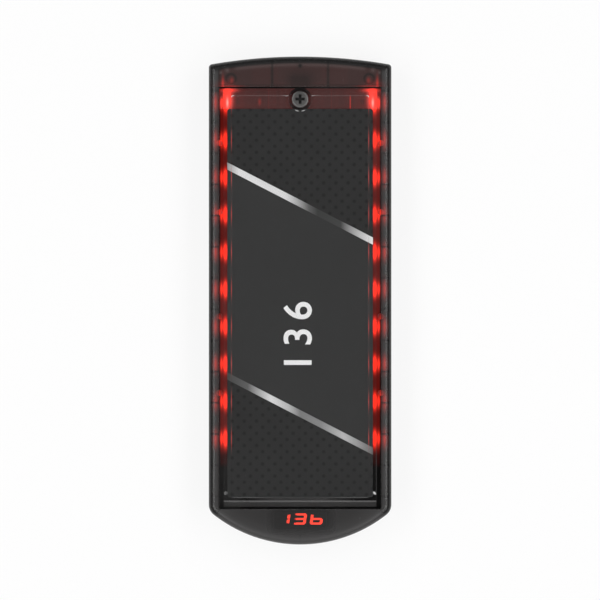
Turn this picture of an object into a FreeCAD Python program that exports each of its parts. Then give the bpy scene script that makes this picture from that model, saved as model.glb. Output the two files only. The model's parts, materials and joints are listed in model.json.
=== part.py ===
"""Paddle-style guest pager.

It lies on its back: the display chin points to -Y, the front face looks up (+Z), and the
origin is under the middle of the paddle, on the surface it rests on. Millimetres.
"""
import FreeCAD, Part
import math
import os
import re

import Sketcher

# Driving dimensions. Each is one independent size of the real pager.
SIZES = {
    # case outline
    "case_width": 76.2,
    "case_length": 203.7,
    "top_arc_radius": 215.0,
    "chin_arc_radius": 58.5,
    "top_corner_radius": 1.5,
    "chin_corner_radius": 5.5,
    "inner_corner_radius": 1.5,
    "front_edge_radius": 3.0,
    "rear_edge_radius": 2.5,
    # case shells
    "foot_stand": 0.8,
    "rear_depth": 7.2,
    "front_depth": 11.0,
    "case_wall": 2.0,
    "front_skin": 2.0,
    "rear_floor": 2.0,
    "lip_height": 1.2,
    "lip_wall": 1.0,
    "lip_clearance": 0.15,
    # front recess
    "rail_width": 4.4,
    "cap_length": 12.75,
    "chin_length": 14.95,
    "recess_depth": 4.0,
    "recess_floor": 1.5,
    "recess_wall": 1.2,
    "rail_rib_count": 12,
    "rail_rib_pitch": 13.0,
    "rail_rib_width": 1.2,
    "rail_rib_start": 14.7,
    "cap_rib_x": 11.65,
    "cap_rib_width": 1.2,
    "stop_radius": 1.25,
    "stop_height": 2.6,
    "stop_first": 23.4,
    "stop_second": 52.3,
    "stop_third": 95.7,
    "stop_fourth": 127.6,
    # label window and card
    "window_gap": 1.8,
    "window_top_gap": 0.6,
    "window_end_gap": 0.7,
    "window_flange": 2.2,
    "panel_rise": 0.8,
    "panel_inset": 3.6,
    "panel_top_inset": 2.9,
    "panel_end_inset": 3.9,
    "end_bevel": 2.2,
    "end_bevel_drop": 1.4,
    "skirt_wall": 1.3,
    "skirt_top": 8.25,
    "skirt_end": 3.8,
    "label_clearance": 0.2,
    "label_thickness": 0.35,
    "label_headroom": 0.25,
    "label_corner_radius": 1.2,
    "tab_x": 16.0,
    "tab_width": 6.0,
    "tab_thickness": 1.2,
    "tab_reach": 2.2,
    "tab_lift": 0.4,
    "pivot_inset": 0.1,
    "knuckle_radius": 0.75,
    "slot_clearance": 0.4,
    "slot_drop": 0.6,
    # label screw and its insert
    "screw_inset": 5.1,
    "head_radius": 3.5,
    "head_height": 2.0,
    "head_crown_radius": 1.2,
    "head_recess_radius": 4.9,
    "head_seat": 0.9,
    "cross_length": 4.2,
    "cross_width": 0.9,
    "cross_depth": 1.2,
    "shank_radius": 1.45,
    "shank_length": 3.7,
    "shank_clearance": 0.25,
    "insert_radius": 2.3,
    "insert_length": 3.0,
    "thread_clearance": 0.2,
    "boss_wall": 1.6,
    "press_clearance": 0.05,
    # case screws and their bosses
    "cap_boss_x": 28.8,
    "cap_boss_inset": 9.45,
    "chin_boss_x": 23.0,
    "chin_boss_inset": 12.35,
    "front_boss_radius": 2.4,
    "case_screw_radius": 1.25,
    "case_screw_length": 11.0,
    "case_head_radius": 2.5,
    "case_head_height": 1.8,
    "case_head_depth": 2.6,
    "case_head_clearance": 0.3,
    "rear_boss_wall": 1.2,
    "screw_clearance": 0.06,
    # main board
    "board_thickness": 1.6,
    "board_edge_gap": 1.4,
    "board_end_gap": 2.0,
    "board_neck_x": 20.0,
    "board_neck_reach": 9.2,
    "board_chin_x": 15.0,
    "board_chin_reach": 9.2,
    "post_x": 26.0,
    "post_top_inset": 29.9,
    "post_end_inset": 31.9,
    "post_radius": 2.5,
    "board_screw_radius": 0.9,
    "board_screw_length": 4.6,
    "board_head_radius": 1.75,
    "board_head_height": 1.3,
    # LEDs
    "led_count": 10,
    "led_pitch": 15.57,
    "led_start": 5.9,
    "led_inset": 2.1,
    "led_width": 2.8,
    "led_length": 3.5,
    "led_height": 1.8,
    "led_clearance": 0.3,
    "led_cup_radius": 1.1,
    "led_cup_depth": 0.4,
    "resistor_width": 1.25,
    "resistor_length": 2.0,
    "resistor_height": 0.5,
    "resistor_inset": 5.6,
    # display
    "digit_height": 5.06,
    "digit_width": 3.1,
    "digit_pitch": 6.9,
    "digit_lean": 0.16,
    "bar_width": 0.62,
    "bar_gap": 0.12,
    "bar_depth": 0.8,
    "display_inset": 10.35,
    "display_width": 22.6,
    "display_length": 6.4,
    "display_height": 6.0,
    "display_clearance": 0.4,
    # parts on the board
    "chip_size": 7.0,
    "chip_height": 1.2,
    "chip_lift": 0.1,
    "leg_count": 8,
    "leg_pitch": 0.8,
    "leg_width": 0.35,
    "leg_reach": 1.0,
    "leg_height": 0.5,
    "chip_y": -20.0,
    "crystal_length": 8.0,
    "crystal_width": 3.2,
    "crystal_height": 1.6,
    "crystal_x": 13.0,
    "capacitor_radius": 3.0,
    "capacitor_height": 5.5,
    "capacitor_inset": 12.7,
    "capacitor_y": -50.0,
    "radio_width": 20.0,
    "radio_length": 15.0,
    "radio_thickness": 0.8,
    "radio_y": -62.0,
    "shield_margin": 1.0,
    "shield_height": 2.2,
    "antenna_half_width": 20.0,
    "antenna_start": 60.0,
    "antenna_length": 24.0,
    "antenna_height": 4.5,
    "antenna_strip": 0.6,
    "antenna_gap": 8.0,
    "buzzer_width": 18.0,
    "buzzer_length": 7.4,
    "buzzer_height": 4.6,
    "buzzer_hole_radius": 1.0,
    "buzzer_hole_depth": 1.5,
    # battery
    "battery_width": 34.0,
    "battery_length": 50.0,
    "battery_height": 5.2,
    "battery_edge_radius": 1.8,
    "battery_y": 18.0,
    "foam_height": 0.8,
    "foam_inset": 4.0,
    "fence_clearance": 0.5,
    "fence_wall": 1.2,
    "fence_height": 2.4,
    "lead_radius": 0.6,
    "lead_spread": 4.0,
    "lead_start_run": 3.6,
    "lead_cross_run": 5.0,
    "plug_pitch": 2.0,
    "plug_width": 6.0,
    "plug_length": 5.0,
    "plug_height": 3.4,
    "socket_wall": 0.8,
    "socket_clearance": 0.1,
    # vibration motor
    "motor_radius": 3.0,
    "motor_length": 11.0,
    "motor_x": 1.0,
    "motor_y": -40.0,
    "motor_lift": 0.6,
    "motor_shaft_radius": 0.5,
    "motor_shaft_length": 5.2,
    "weight_radius": 2.7,
    "weight_length": 4.0,
    "weight_gap": 0.6,
    "weight_hub_radius": 1.2,
    "shaft_clearance": 0.05,
    "shaft_end_clearance": 0.4,
    "holder_length": 7.0,
    "holder_wall": 1.4,
    "holder_clearance": 0.05,
    # charging contacts and feet
    "contact_x": 12.0,
    "contact_inset": 21.0,
    "contact_radius": 3.0,
    "contact_proud": 0.3,
    "contact_flange_radius": 4.0,
    "contact_flange_height": 0.6,
    "contact_clearance": 0.1,
    "spring_width": 3.0,
    "spring_length": 5.0,
    "spring_strip": 0.3,
    "foot_radius": 4.5,
    "foot_height": 1.6,
    "foot_clearance": 0.15,
    "foot_x": 28.0,
    "foot_top_inset": 22.0,
    "foot_end_inset": 32.0,
}

# Places and sizes that follow from the driving dimensions.
PLACES = {
    "half_width": "case_width / 2",
    "half_length": "case_length / 2",
    "floor_top": "foot_stand + rear_floor",
    "parting": "foot_stand + rear_depth",
    "case_top": "parting + front_depth",
    "skin_under": "case_top - front_skin",
    "recess_z": "case_top - recess_depth",
    "tray_under": "recess_z - recess_floor",
    "board_top": "tray_under - led_clearance - led_height",
    "board_under": "board_top - board_thickness",
    "recess_side": "half_width - rail_width",
    "recess_top": "half_length - cap_length",
    "recess_end": "chin_length - half_length",
    "tray_side": "recess_side + recess_wall",
    "tray_top": "recess_top + recess_wall",
    "tray_end": "recess_end - recess_wall",
    "inner_side": "half_width - case_wall",
    "window_side": "recess_side - window_gap",
    "window_top": "recess_top - window_top_gap",
    "window_end": "recess_end + window_end_gap",
    "flange_top": "recess_z + window_flange",
    "panel_top": "flange_top + panel_rise",
    "panel_side": "window_side - panel_inset",
    "panel_y_top": "window_top - panel_top_inset",
    "panel_y_end": "window_end + panel_end_inset",
    "pocket_side": "window_side - skirt_wall",
    "pocket_top": "window_top - skirt_top",
    "pocket_end": "window_end + skirt_end",
    "pocket_height": "label_thickness + label_headroom",
    "label_side": "pocket_side - label_clearance",
    "label_top": "pocket_top - label_clearance",
    "label_end": "pocket_end + label_clearance",
    "tab_under": "recess_z + tab_lift",
    "pivot_y": "recess_end - pivot_inset",
    "pivot_z": "tab_under + tab_thickness / 2",
    "screw_y": "recess_top - screw_inset",
    "seat_z": "recess_z + head_seat",
    "insert_under": "recess_z - insert_length",
    "insert_bore": "shank_radius + thread_clearance",
    "cap_boss_y": "half_length - cap_boss_inset",
    "chin_boss_y": "chin_boss_inset - half_length",
    "case_seat": "foot_stand + case_head_depth",
    "case_head_bore": "case_head_radius + case_head_clearance",
    "rear_boss_radius": "case_head_bore + rear_boss_wall",
    "case_bore": "case_screw_radius + screw_clearance",
    "post_y_top": "half_length - post_top_inset",
    "post_y_end": "post_end_inset - half_length",
    "board_bore": "board_screw_radius + screw_clearance",
    "board_side": "inner_side - board_edge_gap",
    "board_y_top": "tray_top - board_end_gap",
    "board_y_end": "tray_end + board_end_gap",
    "board_y_neck": "board_y_top + board_neck_reach",
    "board_y_chin": "board_y_end - board_chin_reach",
    "led_x": "recess_side - led_inset",
    "led_y": "recess_top - led_start",
    "resistor_x": "led_x - resistor_inset",
    "display_y": "display_inset - half_length",
    "display_top": "board_top + display_height",
    "chip_z": "board_top + chip_lift",
    "battery_z": "floor_top + foam_height",
    "battery_end": "battery_y - battery_length / 2",
    "lead_z": "battery_z + battery_height / 2",
    "plug_y": "battery_end - 2 * lead_start_run - lead_cross_run",
    "motor_z": "floor_top + motor_lift + motor_radius",
    "motor_face": "motor_x - motor_length / 2",
    "weight_x": "motor_face - weight_gap - weight_length",
    "contact_y": "contact_inset - half_length",
    "contact_under": "foot_stand - contact_proud",
    "contact_top": "floor_top + contact_flange_height",
    "foot_top_y": "half_length - foot_top_inset",
    "foot_end_y": "foot_end_inset - half_length",
    "foot_pocket": "foot_height - foot_stand",
    "buzzer_y": "tray_top + (half_length - case_wall - tray_top) / 2",
}

# Shortest distance that counts as a difference between two places.
SAME_PLACE = 1e-4
# Share of the shorter run that each bend of a lead takes.
BEND_SHARE = 0.45
# Largest share by which a swept lead's volume may differ from its section times its length.
VOLUME_TOLERANCE = 0.01

doc = FreeCAD.newDocument("guest_pager")


# ---------------------------------------------------------------- sheet and expressions

def fill_sheet(name, cells):
    """Put each named value in a cell of its own, with its name as the alias."""
    sheet = doc.addObject("Spreadsheet::Sheet", name)
    for row, (alias, content) in enumerate(cells.items(), start=1):
        sheet.set(f"A{row}", alias)
        sheet.set(f"B{row}", content)
        sheet.setAlias(f"B{row}", alias)
    doc.recompute()
    return sheet


def name_sheets(expression, sheets):
    """Put its sheet's name in front of every alias that the given sheets hold."""
    def full(match):
        word = match.group(0)
        for sheet_name, cells in sheets.items():
            if word in cells:
                return f"{sheet_name}.{word}"
        return word
    return re.sub(r"[a-z_]+", full, str(expression))


def ref(expression):
    return name_sheets(expression, {"Sizes": SIZES, "Places": PLACES})


sizes_sheet = fill_sheet("Sizes", {alias: str(size) for alias, size in SIZES.items()})
fill_sheet("Places", {alias: "=" + name_sheets(formula, {"Sizes": SIZES})
                      for alias, formula in PLACES.items()})


def value(expression):
    """Number that an expression of named sizes gives."""
    return float(sizes_sheet.evalExpression(ref(expression)))


def bind(thing, target, expression):
    thing.setExpression(target, ref(expression))


# ---------------------------------------------------------------- sketches and bodies

def new_body(label):
    body = doc.addObject("PartDesign::Body", label)
    body.Label = label
    body.AllowCompound = True
    return body


def origin_part(body, role):
    return next(part for part in body.Origin.OriginFeatures if part.Role == role)


def new_sketch(body, name, height="0", plane="XY_Plane"):
    """Sketch on one of the body's own origin planes, moved along that plane's normal."""
    sketch = body.newObject("Sketcher::SketchObject", name)
    sketch.AttachmentSupport = [(origin_part(body, plane), "")]
    sketch.MapMode = "FlatFace"
    bind(sketch, "AttachmentOffset.Base.z", height)
    return sketch


def constrain(sketch, kind, *where, size=None):
    """Add one constraint, bound to an expression if it has a size."""
    if size is None:
        return sketch.addConstraint(Sketcher.Constraint(kind, *where))
    index = sketch.addConstraint(Sketcher.Constraint(kind, *where, value(size)))
    bind(sketch, f"Constraints[{index}]", size)
    return index


def pin_point(sketch, geometry, position, x, y):
    """Hold a point of the geometry at x, y from the sketch's origin."""
    constrain(sketch, "DistanceX", -1, 1, geometry, position, size=x)
    constrain(sketch, "DistanceY", -1, 1, geometry, position, size=y)


def polygon(sketch, corners):
    """Closed loop of straight lines through corners given as expressions."""
    points = [FreeCAD.Vector(value(x), value(y), 0) for x, y in corners]
    first = sketch.GeometryCount
    count = len(corners)
    for index in range(count):
        line = Part.LineSegment(points[index], points[(index + 1) % count])
        sketch.addGeometry(line, False)
    for index in range(count):
        constrain(sketch, "Coincident", first + index, 2, first + (index + 1) % count, 1)
    for index, (x, y) in enumerate(corners):
        pin_point(sketch, first + index, 1, x, y)


def rectangle(sketch, x, y):
    """Rectangle between two pairs of expressions."""
    polygon(sketch, [(x[0], y[0]), (x[1], y[0]), (x[1], y[1]), (x[0], y[1])])


def circle(sketch, x, y, radius):
    centre = FreeCAD.Vector(value(x), value(y), 0)
    shape = Part.Circle(centre, FreeCAD.Vector(0, 0, 1), value(radius))
    index = sketch.addGeometry(shape, False)
    constrain(sketch, "Radius", index, size=radius)
    pin_point(sketch, index, 3, x, y)


def case_outline(sketch, inset, top_corner, chin_corner):
    """The paddle's outline moved inwards: straight sides, a shallow top arc and a deep chin arc."""
    side_size = f"half_width - ({inset})"
    end_size = f"half_length - ({inset})"
    top_size = f"top_arc_radius - ({inset})"
    chin_size = f"chin_arc_radius - ({inset})"
    side, end, top_radius, chin_radius = map(value, (side_size, end_size, top_size, chin_size))
    corner_top, corner_chin = value(top_corner), value(chin_corner)
    top_centre = end - top_radius
    chin_centre = chin_radius - end
    top_tangent = top_centre + math.sqrt((top_radius - corner_top) ** 2 - (side - corner_top) ** 2)
    chin_tangent = chin_centre - math.sqrt((chin_radius - corner_chin) ** 2 - (side - corner_chin) ** 2)
    top_angle = math.atan2(top_tangent - top_centre, side - corner_top)
    chin_angle = math.atan2(chin_centre - chin_tangent, side - corner_chin)

    def arc(x, y, radius, start, stop):
        round_line = Part.Circle(FreeCAD.Vector(x, y, 0), FreeCAD.Vector(0, 0, 1), radius)
        sketch.addGeometry(Part.ArcOfCircle(round_line, start, stop), False)

    def straight(x, y_start, y_stop):
        start, stop = FreeCAD.Vector(x, y_start, 0), FreeCAD.Vector(x, y_stop, 0)
        sketch.addGeometry(Part.LineSegment(start, stop), False)

    first = sketch.GeometryCount
    straight(side, chin_tangent, top_tangent)
    arc(side - corner_top, top_tangent, corner_top, 0, top_angle)
    arc(0, top_centre, top_radius, top_angle, math.pi - top_angle)
    arc(corner_top - side, top_tangent, corner_top, math.pi - top_angle, math.pi)
    straight(-side, top_tangent, chin_tangent)
    arc(corner_chin - side, chin_tangent, corner_chin, math.pi, math.pi + chin_angle)
    arc(0, chin_centre, chin_radius, math.pi + chin_angle, 2 * math.pi - chin_angle)
    arc(side - corner_chin, chin_tangent, corner_chin, 2 * math.pi - chin_angle, 2 * math.pi)
    right, top_right, top_arc, top_left, left, chin_left, chin_arc, chin_right = range(first, first + 8)
    loop = [right, top_right, top_arc, top_left, left, chin_left, chin_arc, chin_right]
    for index, piece in enumerate(loop):
        constrain(sketch, "Tangent", piece, 2, loop[(index + 1) % len(loop)], 1)
    for piece, size in ((top_right, top_corner), (top_left, top_corner), (top_arc, top_size),
                        (chin_left, chin_corner), (chin_right, chin_corner), (chin_arc, chin_size)):
        constrain(sketch, "Radius", piece, size=size)
    pin_point(sketch, top_arc, 3, "0", f"{end_size} - ({top_size})")
    pin_point(sketch, chin_arc, 3, "0", f"{chin_size} - ({end_size})")
    for piece, size in ((right, side_size), (left, f"-({side_size})")):
        constrain(sketch, "Vertical", piece)
        constrain(sketch, "DistanceX", -1, 1, piece, 1, size=size)


def add(body, kind, sketch, length, reverse=False):
    """Pad or Pocket of a sketch. A pad goes up and a pocket goes down unless reversed."""
    feature = body.newObject(f"PartDesign::{kind}", f"{sketch.Name}_{kind.lower()}")
    feature.Profile = sketch
    bind(feature, "Length", length)
    feature.Reversed = reverse
    sketch.Visibility = False
    body.Tip = feature
    doc.recompute()
    return feature


def pad(body, sketch, length):
    return add(body, "Pad", sketch, length)


def cut_down(body, sketch, depth):
    return add(body, "Pocket", sketch, depth)


def cut_up(body, sketch, height):
    return add(body, "Pocket", sketch, height, reverse=True)


def row_along_y(body, feature, pitch, count):
    """Repeat a feature towards -Y."""
    pattern = body.newObject("PartDesign::LinearPattern", f"{feature.Name}_row")
    pattern.Originals = [feature]
    pattern.Direction = (origin_part(body, "Y_Axis"), [""])
    pattern.Reversed = True
    bind(pattern, "Length", f"{pitch} * ({count} - 1)")
    bind(pattern, "Occurrences", count)
    body.Tip = pattern
    doc.recompute()
    return pattern


def round_edges(body, wanted, radius, name):
    """Fillet the edges of the body's tip that the test picks."""
    tip = body.Tip
    names = [f"Edge{index}" for index, edge in enumerate(tip.Shape.Edges, start=1) if wanted(edge)]
    fillet = body.newObject("PartDesign::Fillet", name)
    fillet.Base = (tip, names)
    bind(fillet, "Radius", radius)
    body.Tip = fillet
    doc.recompute()
    return fillet


def lies_at_height(edge, height):
    box = edge.BoundBox
    return abs(box.ZMin - height) < SAME_PLACE and abs(box.ZMax - height) < SAME_PLACE


def is_upright(edge):
    box = edge.BoundBox
    return box.XLength < SAME_PLACE and box.YLength < SAME_PLACE


# ---------------------------------------------------------------- primitives

def block(name, x, y, z):
    """Box between three pairs of expressions."""
    shape = doc.addObject("Part::Box", name)
    for size, axis, (low, high) in (("Length", "x", x), ("Width", "y", y), ("Height", "z", z)):
        bind(shape, size, f"({high}) - ({low})")
        bind(shape, f"Placement.Base.{axis}", low)
    return shape


TURN_TO = {
    "z": FreeCAD.Rotation(),
    "x": FreeCAD.Rotation(FreeCAD.Vector(0, 1, 0), 90),
}


def rod(name, radius, length, x, y, z, along="z"):
    """Cylinder that starts at x, y, z and runs along one axis."""
    shape = doc.addObject("Part::Cylinder", name)
    shape.Placement.Rotation = TURN_TO[along]
    bind(shape, "Radius", radius)
    bind(shape, "Height", length)
    for axis, where in (("x", x), ("y", y), ("z", z)):
        bind(shape, f"Placement.Base.{axis}", where)
    return shape


def cut(label, base, tool):
    shape = doc.addObject("Part::Cut", label)
    shape.Base = base
    shape.Tool = tool
    return shape


def fuse(label, shapes):
    shape = doc.addObject("Part::MultiFuse", label)
    shape.Shapes = shapes
    return shape


def group(label, shapes):
    """Several separate solids in one node."""
    shape = doc.addObject("Part::Compound", label)
    shape.Links = shapes
    return shape


def middle(centre, size):
    """Pair of expressions either side of a centre."""
    return f"{centre} - {size} / 2", f"{centre} + {size} / 2"


SIDES = (("left", "-"), ("right", ""))
CASE_SCREW_PLACES = [(f"{sign}cap_boss_x", "cap_boss_y") for _, sign in SIDES]
CASE_SCREW_PLACES += [(f"{sign}chin_boss_x", "chin_boss_y") for _, sign in SIDES]
POST_PLACES = [(f"{sign}post_x", y) for _, sign in SIDES for y in ("post_y_top", "post_y_end")]
FOOT_PLACES = [(f"{sign}foot_x", y) for _, sign in SIDES for y in ("foot_top_y", "foot_end_y")]
CONTACT_PLACES = [(f"{sign}contact_x", "contact_y") for _, sign in SIDES]
STOPS = ("stop_first", "stop_second", "stop_third", "stop_fourth")


def circles(sketch, places, radius):
    for x, y in places:
        circle(sketch, x, y, radius)
    return sketch


# ---------------------------------------------------------------- case shells

def make_front_case():
    """Smoke-tinted front shell: rails, cap and chin round a recess for the label window."""
    body = new_body("front_case")
    shell = new_sketch(body, "front_outline", "parting")
    case_outline(shell, "0", "top_corner_radius", "chin_corner_radius")
    pad(body, shell, "front_depth")
    top = value("case_top")
    round_edges(body, lambda edge: lies_at_height(edge, top), "front_edge_radius", "front_edge")

    interior = new_sketch(body, "front_interior", "parting")
    case_outline(interior, "case_wall", "inner_corner_radius", "chin_corner_radius - case_wall")
    cut_up(body, interior, "skin_under - parting")

    tray = new_sketch(body, "tray", "tray_under")
    rectangle(tray, ("-tray_side", "tray_side"), ("tray_end", "tray_top"))
    pad(body, tray, "skin_under - tray_under")
    recess = new_sketch(body, "recess", "case_top")
    rectangle(recess, ("-recess_side", "recess_side"), ("recess_end", "recess_top"))
    cut_down(body, recess, "recess_depth")

    first_rib = "recess_top - rail_rib_start"
    ribs = new_sketch(body, "rail_ribs", "tray_under")
    for _, sign in SIDES:
        rectangle(ribs, (f"{sign}tray_side", f"{sign}(inner_side)"), middle(first_rib, "rail_rib_width"))
    first_ribs = pad(body, ribs, "skin_under - tray_under")
    row_along_y(body, first_ribs, "rail_rib_pitch", "rail_rib_count")

    cap_ribs = new_sketch(body, "cap_ribs", "board_top + led_height")
    for _, sign in SIDES:
        rectangle(cap_ribs, middle(f"{sign}cap_rib_x", "cap_rib_width"),
                  ("recess_top", "half_length - case_wall"))
    pad(body, cap_ribs, "skin_under - board_top - led_height")

    bosses = circles(new_sketch(body, "front_bosses", "parting"), CASE_SCREW_PLACES, "front_boss_radius")
    pad(body, bosses, "skin_under - parting")
    pilots = circles(new_sketch(body, "front_pilots", "parting"), CASE_SCREW_PLACES, "case_bore")
    cut_up(body, pilots, "case_seat + case_screw_length + screw_clearance - parting")

    insert_boss = new_sketch(body, "insert_boss", "insert_under")
    circle(insert_boss, "0", "screw_y", "insert_radius + boss_wall")
    pad(body, insert_boss, "insert_length - recess_floor / 2")
    insert_hole = new_sketch(body, "insert_hole", "recess_z")
    circle(insert_hole, "0", "screw_y", "insert_radius + press_clearance")
    cut_down(body, insert_hole, "insert_length")

    slots = new_sketch(body, "tab_slots", "pivot_z + tab_thickness / 2 + slot_clearance")
    for _, sign in SIDES:
        rectangle(slots, middle(f"{sign}tab_x", "(tab_width + 2 * slot_clearance)"),
                  ("recess_end - recess_wall - slot_clearance", "recess_end"))
    cut_down(body, slots, "tab_thickness + slot_clearance + tab_lift + slot_drop")

    stops = new_sketch(body, "window_stops", "recess_z")
    circles(stops, [(f"{sign}recess_side", f"recess_top - {stop}") for _, sign in SIDES for stop in STOPS],
            "stop_radius")
    pad(body, stops, "stop_height")

    thin = new_sketch(body, "display_thinning", "skin_under")
    rectangle(thin, middle("0", "(display_width + 2 * display_clearance)"),
              ("display_y - display_length / 2 - display_clearance", "tray_end"))
    cut_up(body, thin, "display_top + display_clearance - skin_under")
    return body


def make_rear_case():
    """Rear tray with its lip, screw posts, battery fence, foot pockets and contact holes."""
    body = new_body("rear_case")
    shell = new_sketch(body, "rear_outline", "foot_stand")
    case_outline(shell, "0", "top_corner_radius", "chin_corner_radius")
    pad(body, shell, "rear_depth")
    under = value("foot_stand")
    round_edges(body, lambda edge: lies_at_height(edge, under), "rear_edge_radius", "rear_edge")

    interior = new_sketch(body, "rear_interior", "parting")
    case_outline(interior, "case_wall", "inner_corner_radius", "chin_corner_radius - case_wall")
    cut_down(body, interior, "parting - floor_top")

    lip = new_sketch(body, "rear_lip", "floor_top")
    outer_inset = "case_wall + lip_clearance"
    case_outline(lip, outer_inset, "inner_corner_radius", f"chin_corner_radius - ({outer_inset})")
    inner_inset = f"{outer_inset} + lip_wall"
    case_outline(lip, inner_inset, "inner_corner_radius", f"chin_corner_radius - ({inner_inset})")
    pad(body, lip, "parting + lip_height - floor_top")

    lip_root = new_sketch(body, "lip_root", "floor_top")
    case_outline(lip_root, "case_wall - lip_clearance", "inner_corner_radius",
                 "chin_corner_radius - case_wall + lip_clearance")
    case_outline(lip_root, inner_inset, "inner_corner_radius", f"chin_corner_radius - ({inner_inset})")
    pad(body, lip_root, "parting - floor_top")

    bosses = circles(new_sketch(body, "rear_bosses", "floor_top"), CASE_SCREW_PLACES, "rear_boss_radius")
    pad(body, bosses, "parting - floor_top")
    posts = circles(new_sketch(body, "board_posts", "floor_top"), POST_PLACES, "post_radius")
    pad(body, posts, "board_under - floor_top")

    fence = new_sketch(body, "battery_fence", "floor_top")
    inner = "battery_width + 2 * fence_clearance"
    inner_y = "battery_length + 2 * fence_clearance"
    rectangle(fence, middle("0", f"({inner} + 2 * fence_wall)"),
              middle("battery_y", f"({inner_y} + 2 * fence_wall)"))
    rectangle(fence, middle("0", f"({inner})"), middle("battery_y", f"({inner_y})"))
    pad(body, fence, "fence_height")

    heads = circles(new_sketch(body, "head_bores", "foot_stand"), CASE_SCREW_PLACES, "case_head_bore")
    cut_up(body, heads, "case_head_depth")
    shanks = circles(new_sketch(body, "shank_bores", "foot_stand"), CASE_SCREW_PLACES,
                     "case_screw_radius + screw_clearance")
    cut_up(body, shanks, "parting - foot_stand")
    pilots = circles(new_sketch(body, "post_pilots", "board_under"), POST_PLACES, "board_bore")
    cut_down(body, pilots, "board_screw_length - board_thickness + screw_clearance")
    feet = circles(new_sketch(body, "foot_pockets", "foot_stand"), FOOT_PLACES,
                   "foot_radius + foot_clearance")
    cut_up(body, feet, "foot_pocket")
    contacts = circles(new_sketch(body, "contact_holes", "foot_stand"), CONTACT_PLACES,
                       "contact_radius + contact_clearance")
    cut_up(body, contacts, "rear_floor")
    return body


# ---------------------------------------------------------------- fasteners

def make_pan_screw(body, name, place, seat, head, shank, faces_up):
    """Pan-head screw with a cross recess. Its head stands above (or below) the seat."""
    x, y = place
    head_radius, head_height = head
    shank_radius, shank_length = shank
    top = new_sketch(body, f"{name}_head", seat)
    circle(top, x, y, head_radius)
    bottom = new_sketch(body, f"{name}_shank", seat)
    circle(bottom, x, y, shank_radius)
    add(body, "Pad", top, head_height, reverse=not faces_up)
    add(body, "Pad", bottom, shank_length, reverse=faces_up)


def make_label_screw():
    body = new_body("label_screw")
    make_pan_screw(body, "label", ("0", "screw_y"), "seat_z", ("head_radius", "head_height"),
                   ("shank_radius", "shank_length"), True)
    crown = value("seat_z + head_height")
    round_edges(body, lambda edge: lies_at_height(edge, crown), "head_crown_radius", "head_crown")
    cross = new_sketch(body, "label_cross", "seat_z + head_height")
    rectangle(cross, middle("0", "cross_length"), middle("screw_y", "cross_width"))
    cut_down(body, cross, "cross_depth")
    across = new_sketch(body, "label_cross_two", "seat_z + head_height")
    rectangle(across, middle("0", "cross_width"), middle("screw_y", "cross_length"))
    cut_down(body, across, "cross_depth")
    return body


def make_case_screws():
    body = new_body("case_screws")
    for index, place in enumerate(CASE_SCREW_PLACES):
        make_pan_screw(body, f"case_{index}", place, "case_seat", ("case_head_radius", "case_head_height"),
                       ("case_screw_radius", "case_screw_length"), False)
    return body


def make_board_screws():
    body = new_body("board_screws")
    for index, place in enumerate(POST_PLACES):
        make_pan_screw(body, f"board_{index}", place, "board_top", ("board_head_radius", "board_head_height"),
                       ("board_screw_radius", "board_screw_length"), True)
    return body


def make_screw_insert():
    barrel = rod("insert_barrel", "insert_radius", "insert_length", "0", "screw_y", "insert_under")
    bore = rod("insert_bore_cut", "insert_bore", "insert_length", "0", "screw_y", "insert_under")
    return cut("screw_insert", barrel, bore)


def make_rubber_feet():
    feet = [rod(f"foot_{index}", "foot_radius", "foot_height", x, y, "0")
            for index, (x, y) in enumerate(FOOT_PLACES)]
    return group("rubber_feet", feet)


# ---------------------------------------------------------------- label window

def make_label_window():
    """Clear cover with a raised panel, a skirt round the card, a screw seat and two tabs."""
    body = new_body("label_window")
    flange = new_sketch(body, "window_flange_outline", "recess_z")
    rectangle(flange, ("-window_side", "window_side"), ("window_end", "window_top"))
    pad(body, flange, "window_flange")
    bevel = new_sketch(body, "end_bevel_profile", "-window_side", plane="YZ_Plane")
    polygon(bevel, [("window_end", "flange_top - end_bevel_drop"), ("window_end + end_bevel", "flange_top"),
                    ("window_end", "flange_top")])
    add(body, "Pocket", bevel, "2 * window_side", reverse=True)
    panel = new_sketch(body, "panel_outline", "flange_top - panel_rise")
    rectangle(panel, ("-panel_side", "panel_side"), ("panel_y_end", "panel_y_top"))
    pad(body, panel, "2 * panel_rise")
    pocket = new_sketch(body, "label_pocket", "recess_z")
    rectangle(pocket, ("-pocket_side", "pocket_side"), ("pocket_end", "pocket_top"))
    cut_up(body, pocket, "pocket_height")
    seat = new_sketch(body, "head_recess", "panel_top")
    circle(seat, "0", "screw_y", "head_recess_radius")
    cut_down(body, seat, "panel_top - seat_z")
    hole = new_sketch(body, "window_hole", "panel_top")
    circle(hole, "0", "screw_y", "shank_radius + shank_clearance")
    cut_down(body, hole, "panel_top - recess_z")
    tabs = new_sketch(body, "window_tabs", "tab_under")
    for _, sign in SIDES:
        rectangle(tabs, middle(f"{sign}tab_x", "tab_width"), ("window_end - tab_reach", "window_end"))
    pad(body, tabs, "tab_thickness")
    for side, sign in SIDES:
        knuckle = new_sketch(body, f"knuckle_{side}", f"{sign}tab_x - tab_width / 2", plane="YZ_Plane")
        circle(knuckle, "pivot_y", "pivot_z", "knuckle_radius")
        pad(body, knuckle, "tab_width")
    return body


def make_label_card():
    body = new_body("label_card")
    sheet = new_sketch(body, "card_outline", "recess_z")
    rectangle(sheet, ("-label_side", "label_side"), ("label_end", "label_top"))
    pad(body, sheet, "label_thickness")
    round_edges(body, is_upright, "label_corner_radius", "card_corners")
    return body


# ---------------------------------------------------------------- boards and electronics

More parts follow.
